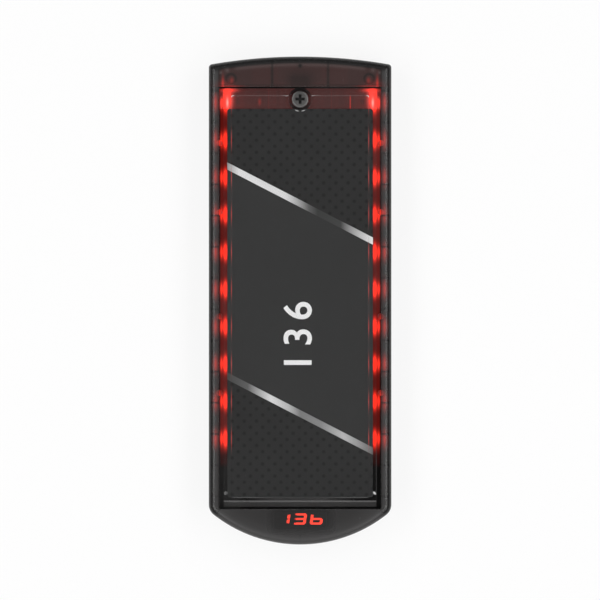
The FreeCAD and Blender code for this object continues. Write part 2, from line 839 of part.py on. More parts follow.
def make_main_board():
    """Board that carries everything: wide between the rails, narrow in the cap and the chin."""
    body = new_body("main_board")
    outline = new_sketch(body, "board_outline", "board_under")
    polygon(outline, [
        ("board_side", "board_y_end"), ("board_side", "board_y_top"),
        ("board_neck_x", "board_y_top"), ("board_neck_x", "board_y_neck"),
        ("-board_neck_x", "board_y_neck"), ("-board_neck_x", "board_y_top"),
        ("-board_side", "board_y_top"), ("-board_side", "board_y_end"),
        ("-board_chin_x", "board_y_end"), ("-board_chin_x", "board_y_chin"),
        ("board_chin_x", "board_y_chin"), ("board_chin_x", "board_y_end"),
    ])
    pad(body, outline, "board_thickness")
    holes = circles(new_sketch(body, "board_holes", "board_top"), POST_PLACES, "board_bore")
    cut_down(body, holes, "board_thickness")
    return body


def make_leds(side, sign):
    """One column of surface-mount LEDs with a shallow round cup in each."""
    body = new_body(f"leds_{side}")
    package = new_sketch(body, f"led_package_{side}", "board_top")
    rectangle(package, middle(f"{sign}led_x", "led_width"), middle("led_y", "led_length"))
    packages = row_along_y(body, pad(body, package, "led_height"), "led_pitch", "led_count")
    cup = new_sketch(body, f"led_cup_{side}", "board_top + led_height")
    for index in range(int(value("led_count"))):
        circle(cup, f"{sign}led_x", f"led_y - {index} * led_pitch", "led_cup_radius")
    cut_down(body, cup, "led_cup_depth")
    return packages


def make_led_resistors():
    body = new_body("led_resistors")
    chip = new_sketch(body, "resistor_chips", "board_top")
    for _, sign in SIDES:
        rectangle(chip, middle(f"{sign}resistor_x", "resistor_width"), middle("led_y", "resistor_length"))
    row_along_y(body, pad(body, chip, "resistor_height"), "led_pitch", "led_count")
    return body


# Bars of one digit: two ends each, as shares of the digit's half width and half height.
BARS = [((-1, 1), (1, 1)), ((1, 1), (1, 0)), ((1, 0), (1, -1)), ((-1, -1), (1, -1)),
        ((-1, 0), (-1, -1)), ((-1, 1), (-1, 0)), ((-1, 0), (1, 0))]


def bar_shape(start, stop, centre_x):
    """One pointed bar of a digit, leaning with it."""
    half_x = (value("digit_width") - value("bar_width")) / 2
    half_y = (value("digit_height") - value("bar_width")) / 2
    half_bar = value("bar_width") / 2
    gap = value("bar_gap")
    begin = FreeCAD.Vector(start[0] * half_x, start[1] * half_y, 0)
    end = FreeCAD.Vector(stop[0] * half_x, stop[1] * half_y, 0)
    along = (end - begin).normalize()
    across = FreeCAD.Vector(-along.y, along.x, 0)
    tip_a = begin + along * gap
    tip_b = end - along * gap
    corners = [tip_a, tip_a + (along + across) * half_bar, tip_b + (across - along) * half_bar,
               tip_b, tip_b - (along + across) * half_bar, tip_a + (along - across) * half_bar]
    lean = value("digit_lean")
    base = value("display_top") - value("bar_depth")
    placed = [FreeCAD.Vector(centre_x + point.x + lean * point.y, value("display_y") + point.y, base)
              for point in corners]
    face = Part.Face(Part.makePolygon(placed + placed[:1]))
    return face.extrude(FreeCAD.Vector(0, 0, value("bar_depth")))


def make_display():
    """Three-digit display: black housing and the translucent bars set in its face."""
    bars = doc.addObject("Part::Feature", "display_segments")
    bars.Shape = Part.makeCompound([bar_shape(start, stop, step * value("digit_pitch"))
                                    for step in (-1, 0, 1) for start, stop in BARS])
    box = block("display_box", middle("0", "display_width"), middle("display_y", "display_length"),
                ("board_top", "display_top"))
    cut("display_housing", box, bars)


def make_microcontroller():
    case = block("chip_case", middle("0", "chip_size"), middle("chip_y", "chip_size"),
                 ("chip_z", "chip_z + chip_height"))
    legs = []
    reach = ("-chip_size / 2 - leg_reach", "chip_size / 2 + leg_reach")
    for index in range(int(value("leg_count"))):
        offset = f"({index} - (leg_count - 1) / 2) * leg_pitch"
        height = ("board_top", "board_top + leg_height")
        legs.append(block(f"leg_x_{index}", reach, middle(f"chip_y + {offset}", "leg_width"), height))
        legs.append(block(f"leg_y_{index}", middle(offset, "leg_width"),
                          (f"chip_y {reach[0]}", f"chip_y + {reach[1]}"), height))
    fuse("microcontroller", [case] + legs)


def make_small_parts():
    block("crystal", middle("crystal_x", "crystal_width"), middle("chip_y", "crystal_length"),
          ("board_top", "board_top + crystal_height"))
    rod("capacitor", "capacitor_radius", "capacitor_height", "board_side - capacitor_inset", "capacitor_y",
        "board_under - capacitor_height")
    box = block("buzzer_box", middle("0", "buzzer_width"), middle("buzzer_y", "buzzer_length"),
                ("board_top", "board_top + buzzer_height"))
    hole = rod("buzzer_hole", "buzzer_hole_radius", "buzzer_hole_depth", "0", "buzzer_y",
               "board_top + buzzer_height - buzzer_hole_depth")
    cut("buzzer", box, hole)


def make_radio():
    """Radio module under the main board, its shield can and the strip loop antenna."""
    board_z = "board_under - radio_thickness"
    block("radio_board", middle("0", "radio_width"), middle("radio_y", "radio_length"),
          (board_z, "board_under"))
    block("radio_shield", middle("0", "(radio_width - 2 * shield_margin)"),
          middle("radio_y", "(radio_length - 2 * shield_margin)"), (f"{board_z} - shield_height", board_z))
    height = ("board_under - antenna_height", "board_under")
    side = "antenna_half_width"
    far = "antenna_start + antenna_length"
    runs = [block("antenna_far", (f"-{side}", side), (f"{far} - antenna_strip", far), height)]
    for name, sign in SIDES:
        low, high = (f"-{side}", f"antenna_strip - {side}") if sign else (f"{side} - antenna_strip", side)
        runs.append(block(f"antenna_side_{name}", (low, high), ("antenna_start", far), height))
        near = (f"-{side}", "-antenna_gap / 2") if sign else ("antenna_gap / 2", side)
        runs.append(block(f"antenna_near_{name}", near, ("antenna_start", "antenna_start + antenna_strip"),
                          height))
    fuse("loop_antenna", runs)


# ---------------------------------------------------------------- battery

def make_battery():
    body = new_body("battery_pack")
    cell = new_sketch(body, "cell_outline", "battery_z")
    rectangle(cell, middle("0", "battery_width"), middle("battery_y", "battery_length"))
    pad(body, cell, "battery_height")
    round_edges(body, lambda edge: edge.BoundBox.YLength > value("battery_length") / 2,
                "battery_edge_radius", "cell_edges")
    block("battery_foam", middle("0", "(battery_width - 2 * foam_inset)"),
          middle("battery_y", "(battery_length - 2 * foam_inset)"), ("floor_top", "battery_z"))


def smooth_path(points):
    """Straight runs joined by tangent arcs, each arc as large as its two runs allow."""
    edges = []
    start = points[0]
    for before, corner, after in zip(points, points[1:], points[2:]):
        inward = (corner - before).normalize()
        outward = (after - corner).normalize()
        reach = BEND_SHARE * min((corner - before).Length, (after - corner).Length)
        turn = inward.getAngle(outward)
        radius = reach / math.tan(turn / 2)
        arc_start = corner - inward * reach
        arc_stop = corner + outward * reach
        bisector = (outward - inward).normalize()
        arc_middle = corner + bisector * (radius / math.cos(turn / 2) - radius)
        edges.append(Part.LineSegment(start, arc_start).toShape())
        edges.append(Part.Arc(arc_start, arc_middle, arc_stop).toShape())
        start = arc_stop
        print(f"lead bend radius {radius:.2f} mm")
    edges.append(Part.LineSegment(start, points[-1]).toShape())
    return Part.Wire(edges)


def make_battery_lead(label, sign):
    """One insulated wire from the battery's end to its plug."""
    height = value("lead_z")
    wide = sign * value("lead_spread")
    narrow = sign * value("plug_pitch") / 2
    leave = value("battery_end")
    arrive = value("plug_y")
    run = value("lead_start_run")
    points = [FreeCAD.Vector(wide, leave, height), FreeCAD.Vector(wide, leave - run, height),
              FreeCAD.Vector(narrow, arrive + run, height), FreeCAD.Vector(narrow, arrive, height)]
    path = smooth_path(points)
    ring = Part.Circle(points[0], FreeCAD.Vector(0, -1, 0), value("lead_radius")).toShape()
    tube = path.makePipeShell([Part.Wire(ring)], True, False)
    lead = doc.addObject("Part::Feature", label)
    lead.Shape = tube
    expected = math.pi * value("lead_radius") ** 2 * path.Length
    if abs(tube.Volume / expected - 1) > VOLUME_TOLERANCE:
        raise ValueError(f"{label} has volume {tube.Volume:.2f}, not {expected:.2f}")


def make_battery_connector():
    """Two-pin plug held in a socket that hangs from the main board."""
    plug_z = middle("lead_z", "plug_height")
    plug_length = ("plug_y - plug_length", "plug_y")
    block("battery_plug", middle("0", "plug_width"), plug_length, plug_z)
    slack = "socket_clearance"
    outer = block("socket_block", middle("0", f"(plug_width + 2 * {slack} + 2 * socket_wall)"),
                  (f"plug_y - plug_length - {slack} - socket_wall", "plug_y - plug_length / 4"),
                  (f"{plug_z[0]} - {slack} - socket_wall", "board_under"))
    hollow = block("socket_hollow", middle("0", f"(plug_width + 2 * {slack})"),
                   (f"plug_y - plug_length - {slack}", "plug_y"),
                   (f"{plug_z[0]} - {slack}", f"{plug_z[1]} + {slack}"))
    cut("battery_socket", outer, hollow)


# ---------------------------------------------------------------- vibration motor

def make_motor():
    """Pager motor: can, shaft and half-round weight, held by a rubber saddle on the floor."""
    can = rod("motor_tube", "motor_radius", "motor_length", "motor_face", "motor_y", "motor_z", along="x")
    nose_bore = rod("motor_nose_bore", "motor_shaft_radius + shaft_clearance",
                    "motor_shaft_length + shaft_end_clearance", "motor_face", "motor_y", "motor_z", along="x")
    cut("motor_can", can, nose_bore)
    rod("motor_shaft", "motor_shaft_radius", "2 * motor_shaft_length", "motor_face - motor_shaft_length",
        "motor_y", "motor_z", along="x")
    holder_x = middle("motor_x", "holder_length")
    saddle = block("saddle_block", holder_x, middle("motor_y", "(2 * motor_radius + 2 * holder_wall)"),
                   ("floor_top", "motor_z + motor_radius / 2"))
    hollow = rod("saddle_hollow", "motor_radius + holder_clearance", "holder_length", holder_x[0],
                 "motor_y", "motor_z", along="x")
    cut("motor_holder", saddle, hollow)


def make_motor_weight():
    """Half-round weight: the heavy half hangs below the shaft at rest."""
    disc = rod("weight_disc", "weight_radius", "weight_length", "weight_x", "motor_y", "motor_z", along="x")
    over = block("weight_over", ("weight_x", "weight_x + weight_length"),
                 middle("motor_y", "(4 * weight_radius)"), ("motor_z", "motor_z + 2 * weight_radius"))
    half = cut("weight_half", disc, over)
    hub = rod("weight_hub", "weight_hub_radius", "weight_length", "weight_x", "motor_y", "motor_z", along="x")
    whole = fuse("weight_whole", [half, hub])
    bore = rod("weight_bore", "motor_shaft_radius + shaft_clearance", "weight_length", "weight_x",
               "motor_y", "motor_z", along="x")
    return cut("motor_weight", whole, bore)


# ---------------------------------------------------------------- charging contacts

def make_contacts():
    studs = []
    springs = []
    for index, (x, y) in enumerate(CONTACT_PLACES):
        stud = rod(f"stud_{index}", "contact_radius", "contact_top - contact_under", x, y, "contact_under")
        flange = rod(f"flange_{index}", "contact_flange_radius", "contact_flange_height", x, y, "floor_top")
        studs.append(fuse(f"contact_{index}", [stud, flange]))
        wide = middle(x, "spring_width")
        low, high = middle(y, "spring_length")
        foot = block(f"spring_foot_{index}", wide, (low, high), ("contact_top", "contact_top + spring_strip"))
        riser = block(f"spring_riser_{index}", wide, (f"{high} - spring_strip", high),
                      ("contact_top", "board_under"))
        head = block(f"spring_head_{index}", wide, (low, high), ("board_under - spring_strip", "board_under"))
        springs.append(fuse(f"spring_{index}", [foot, riser, head]))
    group("charge_contacts", studs)
    group("contact_springs", springs)


# ---------------------------------------------------------------- build, check and write

NODES = ["front_case", "rear_case", "case_screws", "rubber_feet", "label_window", "label_card",
         "label_screw", "screw_insert", "main_board", "board_screws", "leds_left", "leds_right",
         "led_resistors", "display_housing", "display_segments", "microcontroller", "crystal", "capacitor",
         "radio_board", "radio_shield", "loop_antenna", "buzzer", "battery_pack", "battery_foam",
         "battery_lead_red", "battery_lead_black", "battery_plug", "battery_socket", "motor_can",
         "motor_shaft", "motor_weight", "motor_holder", "charge_contacts", "contact_springs"]

make_front_case()
make_rear_case()
make_case_screws()
make_rubber_feet()
make_label_window()
make_label_card()
make_label_screw()
make_screw_insert()
make_main_board()
make_board_screws()
for led_side, led_sign in SIDES:
    make_leds(led_side, led_sign)
make_led_resistors()
make_display()
make_microcontroller()
make_small_parts()
make_radio()
make_battery()
make_battery_lead("battery_lead_red", 1)
make_battery_lead("battery_lead_black", -1)
make_battery_connector()
make_motor()
make_motor_weight()
make_contacts()
doc.recompute()

failed = [thing.Name for thing in doc.Objects if {"Invalid", "Error"} & set(thing.State)]
if failed:
    raise ValueError(f"these objects failed: {failed}")

os.makedirs("parts", exist_ok=True)
for node in NODES:
    found = doc.getObjectsByLabel(node)
    if len(found) != 1:
        raise ValueError(f"{node} is the label of {len(found)} objects")
    shape = found[0].Shape
    if shape.isNull() or not shape.isValid() or not shape.Solids:
        raise ValueError(f"{node} has no valid solid")
    shape.exportStep(f"parts/{node}.step")
    print(f"{node}: {len(shape.Solids)} solids, {shape.Volume:.1f} mm3")
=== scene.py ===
import json
import math
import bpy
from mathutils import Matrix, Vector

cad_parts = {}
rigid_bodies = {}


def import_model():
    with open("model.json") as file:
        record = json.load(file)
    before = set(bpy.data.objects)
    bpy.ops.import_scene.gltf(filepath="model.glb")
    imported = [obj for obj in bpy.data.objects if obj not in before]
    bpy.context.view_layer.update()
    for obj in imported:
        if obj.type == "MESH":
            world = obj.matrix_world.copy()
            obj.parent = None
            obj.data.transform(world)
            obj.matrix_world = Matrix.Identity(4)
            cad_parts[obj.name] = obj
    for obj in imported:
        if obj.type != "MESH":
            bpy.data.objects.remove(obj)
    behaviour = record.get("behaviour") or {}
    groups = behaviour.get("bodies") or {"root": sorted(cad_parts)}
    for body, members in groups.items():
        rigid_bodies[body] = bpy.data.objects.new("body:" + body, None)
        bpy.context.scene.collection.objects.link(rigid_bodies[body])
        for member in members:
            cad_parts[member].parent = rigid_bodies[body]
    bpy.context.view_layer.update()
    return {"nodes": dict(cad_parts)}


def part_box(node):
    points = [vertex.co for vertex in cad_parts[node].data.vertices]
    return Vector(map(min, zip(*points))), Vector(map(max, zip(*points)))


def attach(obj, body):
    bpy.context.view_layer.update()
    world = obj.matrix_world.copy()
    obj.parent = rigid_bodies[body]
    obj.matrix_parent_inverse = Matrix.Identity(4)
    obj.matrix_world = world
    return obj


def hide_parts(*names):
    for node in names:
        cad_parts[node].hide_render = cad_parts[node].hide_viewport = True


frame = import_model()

from types import SimpleNamespace

import bpy
from mathutils import Vector

# ---- sizes, in metres

MM = 0.001
SIDES = (-1, 1)
SAME_PLACE = 0.001 * MM
SAME_HEIGHT = 0.01 * MM


def mm(*parts):
    """Lengths given in millimetres."""
    return tuple(part * MM for part in parts)


CASE_LOW, CASE_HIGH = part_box("front_case")
WINDOW_LOW, WINDOW_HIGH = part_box("label_window")
CARD_LOW, CARD_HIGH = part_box("label_card")
LED_LOW, LED_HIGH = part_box("leds_right")
SCREW_LOW, SCREW_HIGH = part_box("label_screw")
BARS_LOW, BARS_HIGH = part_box("display_segments")
BOARD_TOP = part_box("main_board")[1].z

# The case's plan and shell.
HALF_WIDTH = CASE_HIGH.x
TOP_ARC = 215 * MM
CHIN_ARC = 58.5 * MM
TOP_CORNER = 1.5 * MM
CHIN_CORNER = 5.5 * MM
SHARP_CORNER = 0.05 * MM
CHIN_STEPS, CHIN_CORNER_STEPS, TOP_CORNER_STEPS, TOP_STEPS = 18, 6, 4, 28
WALL = 2 * MM
FRONT_ROUND = 3 * MM
INNER_ROUND = 1.2 * MM
SEAM_BEVEL = 0.2 * MM
SKIN = 2 * MM
CHIN_FALL = 0.9 * MM
CHIN_FALL_REACH = 11 * MM
CHIN_FALL_START = -78 * MM
CHIN_FALL_END = -92 * MM
# Extra rings on the flat top, this far inside its round edge, over which the chin's fall fades out.
TOP_RINGS = mm(2, 4.5, 8)

# The recess, and what stands in it and under the skin.
FLOOR_Z = CARD_LOW.z
WINDOW_SIDE = WINDOW_HIGH.x
TAB_REACH = 2.2 * MM
WINDOW_END = WINDOW_LOW.y + TAB_REACH
RECESS_SIDE = WINDOW_SIDE + 1.8 * MM
RECESS_TOP = WINDOW_HIGH.y + 0.6 * MM
RECESS_END = WINDOW_END - 0.7 * MM
RECESS_CORNER = 0.5 * MM
TRAY_WALL = 1.2 * MM
TRAY_UNDER = FLOOR_Z - 1.5 * MM
LIP_BEVEL = 0.35 * MM
INSERT_HOLE = 2.35 * MM
RIB_COUNT = 12
RIB_FIRST = 74.4 * MM
RIB_PITCH = 13 * MM
RIB_THICKNESS = 0.9 * MM
CAP_RIB_X = 11.65 * MM
CAP_RIB_END = 99 * MM
CAP_RIB_THICKNESS = 1.0 * MM
RAIL_RIB_LOW = CASE_LOW.z + 2 * MM
INSIDE_LOW = BOARD_TOP + 0.2 * MM
INSIDE_HIGH = CASE_HIGH.z - SKIN - 0.05 * MM
STOP_RADIUS = 1.25 * MM
STOP_HEIGHT = 2.6 * MM
STOP_PLACES = mm(65.7, 36.8, -6.6, -38.5)

# Places of the case screws, and the bosses: each one's place, radius and bore.
CAP_SCREW = mm(28.8, 92.4)
CHIN_SCREW = mm(23.0, -89.5)
CASE_SCREW_PLACES = [(side * x, y) for x, y in (CAP_SCREW, CHIN_SCREW) for side in (1, -1)]
SMALL_BOSS_Y = 97.9 * MM
BOSSES = [((side * x, y), *mm(2.4, 1.5)) for x, y in (CAP_SCREW, CHIN_SCREW) for side in SIDES]
BOSSES.append(((0, SMALL_BOSS_Y), *mm(1.3, 0.5)))

# The window.
WINDOW_UNDER = FLOOR_Z + 0.02 * MM
FLANGE_Z = WINDOW_HIGH.z - 0.8 * MM
WINDOW_CORNER = 0.6 * MM
FLANGE_BEVEL = 0.25 * MM
PANEL_CORNER = 0.8 * MM
PANEL_SINK = 0.5 * MM
PANEL_SLOPE = 0.35 * MM
PANEL_SLOPE_DROP = 0.2 * MM
PANEL_SIDE = WINDOW_SIDE - 3.1 * MM
PANEL_TOP = WINDOW_HIGH.y - 2.9 * MM
PANEL_END = WINDOW_END + 3.9 * MM
END_BEVEL = 2.5 * MM
END_BEVEL_DROP = 1.4 * MM
BUMP_RADIUS = 0.85 * MM
BUMP_HEIGHT = 0.55 * MM
BUMP_Y = -80.3 * MM
POCKET_GAP = 0.2 * MM
POCKET_HEADROOM = 0.15 * MM
TAB_X = 16 * MM
TAB_HALF = 3 * MM
TAB_LIFT = 0.4 * MM
TAB_THICKNESS = 1.2 * MM
# How far each tab's slot goes past the tab's middle, into the chin, and below and above the floor.
SLOT_HALF, SLOT_DEPTH, SLOT_DROP, SLOT_RISE = mm(3.3, 1.6, 0.6, 2)

# The lamps.
LED_X = (LED_LOW.x + LED_HIGH.x) / 2
LED_LENGTH = 3.5 * MM
LED_COUNT = 10
LED_FIRST = LED_HIGH.y - LED_LENGTH / 2
LED_LAST = LED_LOW.y + LED_LENGTH / 2
LED_PITCH = (LED_FIRST - LED_LAST) / (LED_COUNT - 1)
GLOW_SHIFT = 0.65 * MM

# The screws. A drive is the length, width and depth of the cross.
SCREW_PLACE = Vector((0, (SCREW_LOW.y + SCREW_HIGH.y) / 2, 0))
HEAD_RADIUS = SCREW_HIGH.x
HEAD_HEIGHT = 2 * MM
HEAD_SEAT = SCREW_HIGH.z - HEAD_HEIGHT
HEAD_RECESS = 4.9 * MM
SHANK_RADIUS = 1.5 * MM
SHANK_HOLE = 1.55 * MM
LABEL_DRIVE = mm(4.6, 1.3, 1.1)
CASE_HEAD_RADIUS = 2.5 * MM
CASE_HEAD_SEAT = 3.4 * MM
CASE_SHANK_RADIUS = 1.25 * MM
CASE_DRIVE = mm(3.0, 0.7, 0.8)
CROSS_TAPER = 0.62
THREAD_PITCH = 0.7 * MM
THREAD_CORE = 0.84

# The display and the number on the card.
DISPLAY_Y = (BARS_LOW.y + BARS_HIGH.y) / 2
DIGIT_WIDTH = 4.1 * MM
DIGIT_HEIGHT = 3.8 * MM
DIGIT_PITCH = 6.9 * MM
DIGIT_LEAN = 0.15
DIGIT_RISE = 0.42 * MM
BAR_WIDTH = 0.82 * MM
UPRIGHT_WIDTH = 1.15 * MM
BAR_DEPTH = 0.3 * MM
BAR_GAP = 0.06 * MM
BAR_ROUND = 0.3
# Each bar: whether it lies across, and its middle in half widths and half heights of the digit.
BAR_PLACES = {"top": (True, 0, 1), "upper right": (False, 1, 0.5), "lower right": (False, 1, -0.5),
              "bottom": (True, 0, -1), "lower left": (False, -1, -0.5), "upper left": (False, -1, 0.5),
              "middle": (True, 0, 0)}
SHOWN_BARS = [("upper right", "lower right"),
              ("top", "upper right", "middle", "lower right", "bottom"),
              ("upper left", "middle", "lower left", "lower right", "bottom")]
NUMBER_PLACE = mm(4.6, -30)
NUMBER_SIZE = 16.4 * MM
NUMBER_SPACING = 1.32
NUMBER_WEIGHT = 0.18 * MM
INK_THICKNESS = 0.01 * MM

# The card's print.
STRIPE_SLOPE = 0.516
STRIPE_HALF = 1.5 * MM
UPPER_STRIPE = 40.5 * MM
LOWER_STRIPE = -47.2 * MM
DOT_PITCH = 5.1 * MM
DOT_START = Vector(mm(0.35, 1.9))
HALF_PITCH = Vector((DOT_PITCH / 2, DOT_PITCH / 2))

# Under the case.
FOOT_RADIUS = 4.5 * MM
STUD_RADIUS = 3 * MM
STUD_FLANGE = 4 * MM
STUD_FLANGE_HEIGHT = 0.6 * MM

CAMERA_HEIGHT = 2.0
CAMERA_SHIFT = mm(-0.04, 0.23)
VIEW_WIDTH = 250.0 * MM
SENSOR = 36.0


# ---- modelling by hand

def take(obj):
    """Make obj the only selected object."""
    bpy.ops.object.select_all(action="DESELECT")
    obj.select_set(True)
    bpy.context.view_layer.objects.active = obj


def choose(obj, kind, test):
    """Go into edit mode with only the faces, edges or corners that pass the test selected."""
    take(obj)
    bpy.ops.object.mode_set(mode="EDIT")
    bpy.ops.mesh.select_mode(type=kind)
    bpy.ops.mesh.select_all(action="DESELECT")
    bpy.ops.object.mode_set(mode="OBJECT")
    mesh = obj.data
    if kind == "FACE":
        for face in mesh.polygons:
            face.select = test(face.center, face.normal)
    elif kind == "EDGE":
        for edge in mesh.edges:
            edge.select = test(*(mesh.vertices[corner].co for corner in edge.vertices))
    else:
        for corner in mesh.vertices:
            corner.select = test(corner)
    bpy.ops.object.mode_set(mode="EDIT")


def leave_edit():
    bpy.ops.object.mode_set(mode="OBJECT")


def named(name):
    """Name the object just made and put its place into its mesh."""
    obj = bpy.context.object
    obj.name = obj.data.name = name
    bpy.ops.object.transform_apply(location=True, rotation=True, scale=True)
    return obj


def block(name, low, high):
    low, high = Vector(low), Vector(high)
    bpy.ops.object.select_all(action="DESELECT")
    bpy.ops.mesh.primitive_cube_add(size=1, location=(low + high) / 2, scale=high - low)
    return named(name)


def rod(name, radius, low, high, place, sides=48):
    bpy.ops.object.select_all(action="DESELECT")
    middle = Vector((place[0], place[1], (low + high) / 2))
    bpy.ops.mesh.primitive_cylinder_add(vertices=sides, radius=radius, depth=high - low, location=middle)
    return named(name)


def join(name, parts):
    bpy.ops.object.select_all(action="DESELECT")
    for part in parts:
        part.select_set(True)
    bpy.context.view_layer.objects.active = parts[0]
    bpy.ops.object.join()
    obj = bpy.context.object
    obj.name = obj.data.name = name
    return obj


def combine(obj, tool, operation):
    """Add one solid to another or cut it away. The tool is used up."""
    take(obj)
    modifier = obj.modifiers.new("combine", "BOOLEAN")
    modifier.operation = operation
    modifier.solver = "EXACT"
    modifier.use_self = operation == "UNION"
    modifier.object = tool
    bpy.ops.object.modifier_apply(modifier=modifier.name)
    bpy.data.objects.remove(tool)


def cut(obj, tool):
    combine(obj, tool, "DIFFERENCE")


def add(obj, tool):
    combine(obj, tool, "UNION")


def bevel_edges(obj, test, width, segments=3):
    choose(obj, "EDGE", test)
    bpy.ops.mesh.bevel(offset=width, segments=segments, affect="EDGES", profile=0.5)
    leave_edit()


def smooth(obj, angle=32):
    take(obj)
    bpy.ops.object.shade_smooth_by_angle(angle=math.radians(angle), keep_sharp_edges=True)
    modifier = obj.modifiers.new("flat faces stay flat", "WEIGHTED_NORMAL")
    modifier.keep_sharp = True
    bpy.ops.object.modifier_apply(modifier=modifier.name)


def level(height):
    """Test for edges that lie at the height."""
    return lambda start, end: max(abs(start.z - height), abs(end.z - height)) < SAME_HEIGHT


def upright(least=MM):
    """Test for edges that rise by more than the least."""
    return lambda start, end: abs(start.z - end.z) > least


def facing(up, least=0.5):
    """Test for faces that look up, where up is 1, or down, where it is -1."""
    return lambda middle, normal: normal.z * up > least


def from_axis(point, place):
    """Distance of a point from the upright line through a place."""
    return (point.xy - Vector(place[:2])).length


def finish_piece(obj, body, material=None, replaces=()):
    if material:
        obj.data.materials.clear()
        obj.data.materials.append(material)
    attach(obj, body)
    if replaces:
        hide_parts(*replaces)


# ---- the case's plan

def draw_plan_ring(inset, height):
    """In edit mode, draw the case's plan moved inwards by inset, from the chin round."""
    chin_centre = Vector((0, CASE_LOW.y + CHIN_ARC, height))
    top_centre = Vector((0, CASE_HIGH.y - TOP_ARC, height))
    chin_corner = max(CHIN_CORNER - inset, SHARP_CORNER)
    top_corner = max(TOP_CORNER - inset, SHARP_CORNER)
    chin_reach = CHIN_ARC - inset - chin_corner
    top_reach = TOP_ARC - inset - top_corner
    low_x = HALF_WIDTH - inset - chin_corner
    high_x = HALF_WIDTH - inset - top_corner
    low = Vector((low_x, chin_centre.y - math.sqrt(chin_reach**2 - low_x**2), height))
    high = Vector((high_x, top_centre.y + math.sqrt(top_reach**2 - high_x**2), height))
    chin_turn = math.asin(low.x / chin_reach)
    top_turn = math.asin(high.x / top_reach)
    quarter = math.pi / 2

    def arc(centre, turn, steps):
        bpy.ops.mesh.spin(steps=steps, dupli=False, angle=-turn, center=centre, axis=(0, 0, 1))

    def straight(rise):
        bpy.ops.mesh.extrude_region_move(TRANSFORM_OT_translate={"value": (0, rise, 0)})

    bpy.ops.mesh.primitive_plane_add(size=MM, location=(0, CASE_LOW.y + inset, height))
    bpy.ops.mesh.merge(type="CENTER")
    arc(chin_centre, chin_turn, CHIN_STEPS)
    arc(low, quarter - chin_turn, CHIN_CORNER_STEPS)
    straight(high.y - low.y)
    arc(high, quarter - top_turn, TOP_CORNER_STEPS)
    arc(top_centre, 2 * top_turn, TOP_STEPS)
    arc((-high.x, high.y, height), quarter - top_turn, TOP_CORNER_STEPS)
    straight(low.y - high.y)
    arc((-low.x, low.y, height), quarter - chin_turn, CHIN_CORNER_STEPS)
    arc(chin_centre, chin_turn, CHIN_STEPS)
    bpy.ops.mesh.select_linked()
    bpy.ops.mesh.remove_doubles(threshold=SAME_PLACE)


def solid_through(name, rings):
    """Closed solid through plan rings, each an inset and a height, with flat ends."""
    bpy.ops.object.select_all(action="DESELECT")
    bpy.ops.mesh.primitive_plane_add(size=MM)
    obj = named(name)
    bpy.ops.object.mode_set(mode="EDIT")
    bpy.ops.mesh.select_mode(type="VERT")
    bpy.ops.mesh.delete(type="VERT")
    leave_edit()
    for inset, height in rings:
        bpy.ops.object.mode_set(mode="EDIT")
        draw_plan_ring(inset, height)
        leave_edit()
    count = len(obj.data.vertices) // len(rings)
    for first in range(len(rings) - 1):
        choose(obj, "VERT", lambda corner: first * count <= corner.index < (first + 2) * count)
        bpy.ops.mesh.bridge_edge_loops()
        leave_edit()
    for end in (0, len(rings) - 1):
        choose(obj, "VERT", lambda corner: end * count <= corner.index < (end + 1) * count)
        bpy.ops.mesh.edge_face_add()
        leave_edit()
    choose(obj, "FACE", lambda middle, normal: True)
    bpy.ops.mesh.normals_make_consistent(inside=False)
    leave_edit()
    return obj


def rounded_rings(base, top, radius, steps, inset=0):
    """Rings from a straight wall over a round edge to a flat top."""
    rings = [(inset, base)]
    for step in range(steps + 1):
        turn = math.pi / 2 * step / steps
        rings.append((inset + radius * (1 - math.cos(turn)), top - radius + radius * math.sin(turn)))
    return rings


# ---- case pieces

def make_front_shell():
    """Smoke shell: a rounded tray turned over, with the long recess let into its top."""
    parting = CASE_LOW.z
    top = CASE_HIGH.z
    rings = [(SEAM_BEVEL, parting)] + rounded_rings(parting + SEAM_BEVEL, top, FRONT_ROUND, 7)
    rings += [(FRONT_ROUND + further, top) for further in TOP_RINGS]
    shell = solid_through("front_shell", rings)
    settle_chin(shell, rings)

    cavity = solid_through("cavity", rounded_rings(parting - WALL, top - SKIN, INNER_ROUND, 3, WALL))
    tray = block("tray", (-RECESS_SIDE - TRAY_WALL, RECESS_END - TRAY_WALL, TRAY_UNDER),
                 (RECESS_SIDE + TRAY_WALL, RECESS_TOP + TRAY_WALL, top))
    cut(cavity, tray)
    cut(shell, cavity)
    recess = block("recess", (-RECESS_SIDE, RECESS_END, FLOOR_Z), (RECESS_SIDE, RECESS_TOP, top + SKIN))
    bevel_edges(recess, upright(), RECESS_CORNER)
    cut(shell, recess)
    cut(shell, make_lip_cutter())
    for side in SIDES:
        x = side * TAB_X
        cut(shell, block("tab_slot", (x - SLOT_HALF, RECESS_END - SLOT_DEPTH, FLOOR_Z - SLOT_DROP),
                         (x + SLOT_HALF, RECESS_END + 0.1 * MM, FLOOR_Z + SLOT_RISE)))
    cut(shell, rod("insert_hole", INSERT_HOLE, TRAY_UNDER - MM, FLOOR_Z + MM, SCREW_PLACE))
    smooth(shell)
    return shell


def make_lip_cutter():
    """Flared block that takes a small slope off the recess's upper edge."""
    top = CASE_HIGH.z
    cutter = block("lip_cutter", (-RECESS_SIDE, RECESS_END, top - LIP_BEVEL),
                   (RECESS_SIDE, RECESS_TOP, top + MM))
    flare = 2 * (LIP_BEVEL + MM)
    choose(cutter, "FACE", facing(1))
    bpy.ops.transform.resize(value=(1 + flare / (2 * RECESS_SIDE), 1 + flare / (RECESS_TOP - RECESS_END), 1),
                             center_override=(0, (RECESS_TOP + RECESS_END) / 2, top))
    leave_edit()
    return cutter


